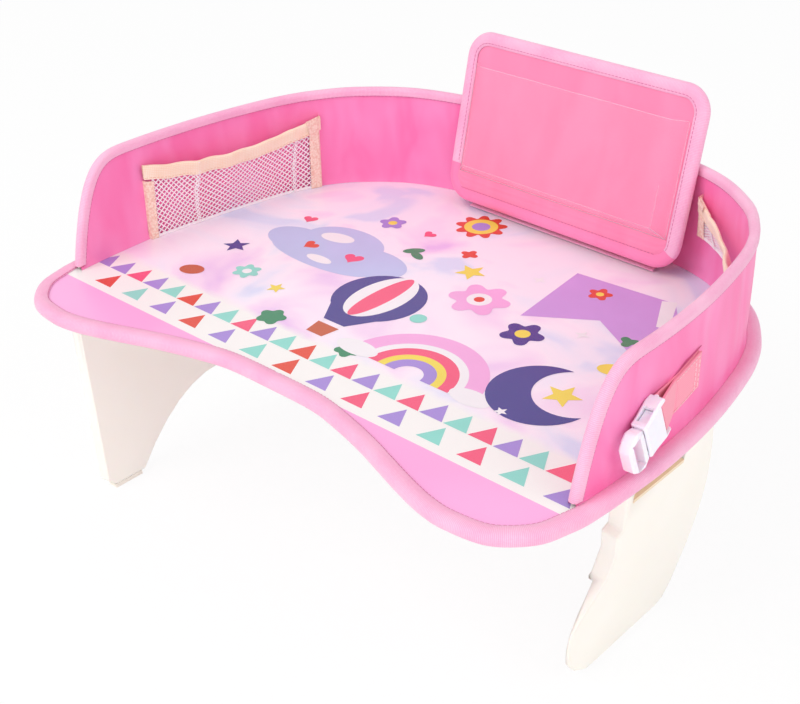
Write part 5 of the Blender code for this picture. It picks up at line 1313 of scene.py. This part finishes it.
# Studio: a pale floor that fades into a white surround, a broad soft light over the left front,
# a weaker one from the right and a low one from the front for the legs.
FLOOR_SIZE = 6.0
FLOOR_GLOW = 0.88
AMBIENT = 0.67
LAMP_AIM = Vector((0.0, 0.0, 0.12))


def seen_directly(tree):
    """One for what the camera sees, also in a gloss or through a clear sheet."""
    rays = add(tree, "LightPath")
    seen = rays.outputs["Is Camera Ray"]
    for kind in ("Is Glossy Ray", "Is Transmission Ray"):
        seen = add(tree, "Math", {0: seen, 1: rays.outputs[kind]}, operation="MAXIMUM").outputs[0]
    return seen


floor_mesh = bmesh.new()
bmesh.ops.create_grid(floor_mesh, x_segments=1, y_segments=1, size=FLOOR_SIZE / 2)
mesh = bpy.data.meshes.new("floor")
floor_mesh.to_mesh(mesh)
floor_mesh.free()
floor = bpy.data.objects.new("floor", mesh)
bpy.context.scene.collection.objects.link(floor)
floor_paint, tree, shader, here = finish("floor_paint", "#FFFFFF", 0.9)
share = add(tree, "Math", {0: seen_directly(tree), 1: FLOOR_GLOW}, operation="MULTIPLY")
glow = add(tree, "Emission", {"Color": srgb("#FFFFFF"), "Strength": 1.0})
mixed = add(tree, "MixShader", {0: share.outputs[0], 1: shader.outputs[0], 2: glow.outputs[0]})
tree.links.new(mixed.outputs[0], tree.nodes["Material Output"].inputs["Surface"])
mesh.materials.append(floor_paint)

world = bpy.data.worlds.new("surround")
bpy.context.scene.world = world
world.use_nodes = True
tree = world.node_tree
ambient = tree.nodes["Background"]
ambient.inputs["Color"].default_value = srgb("#FFFFFF")
ambient.inputs["Strength"].default_value = AMBIENT
white = add(tree, "Background", {"Color": srgb("#FFFFFF"), "Strength": 1.0})
mixed = add(tree, "MixShader", {0: seen_directly(tree), 1: ambient.outputs[0],
                                2: white.outputs[0]})
tree.links.new(mixed.outputs[0], tree.nodes["World Output"].inputs["Surface"])

for name, place, size, power in (("key", (-0.5, -1.5, 1.9), 1.6, 22.0),
                                 ("fill", (1.9, 0.1, 1.3), 1.6, 8.6),
                                 ("low", (1.0, -1.4, 0.3), 1.2, 4.6)):
    lamp = bpy.data.lights.new(name, "AREA")
    lamp.shape = "SQUARE"
    lamp.size = size
    lamp.energy = power
    lit = bpy.data.objects.new(name, lamp)
    lit.location = place
    lit.rotation_euler = (LAMP_AIM - Vector(place)).to_track_quat("-Z", "Y").to_euler()
    bpy.context.scene.collection.objects.link(lit)

# Camera, at the photograph's angle.
CAMERA_PLACE = Vector((0.4622, -0.5177, 0.5141))
YAW, PITCH, ROLL = (math.radians(a) for a in (132.807, 30.283, 1.394))
ahead = Vector((math.cos(PITCH) * math.cos(YAW), math.cos(PITCH) * math.sin(YAW),
                -math.sin(PITCH)))
right = ahead.cross(Vector((0.0, 0.0, 1.0))).normalized()
down = ahead.cross(right)
turned_right = right * math.cos(ROLL) + down * math.sin(ROLL)
turned_down = down * math.cos(ROLL) - right * math.sin(ROLL)
lens = bpy.data.cameras.new("camera")
lens.lens = 60.44
lens.sensor_width = 36.0
lens.sensor_fit = "HORIZONTAL"
camera = bpy.data.objects.new("camera", lens)
turn = Matrix((turned_right, -turned_down, -ahead)).transposed().to_4x4()
camera.matrix_world = Matrix.Translation(CAMERA_PLACE) @ turn
bpy.context.scene.collection.objects.link(camera)
bpy.context.scene.camera = camera
bpy.context.scene.view_settings.view_transform = "Standard"
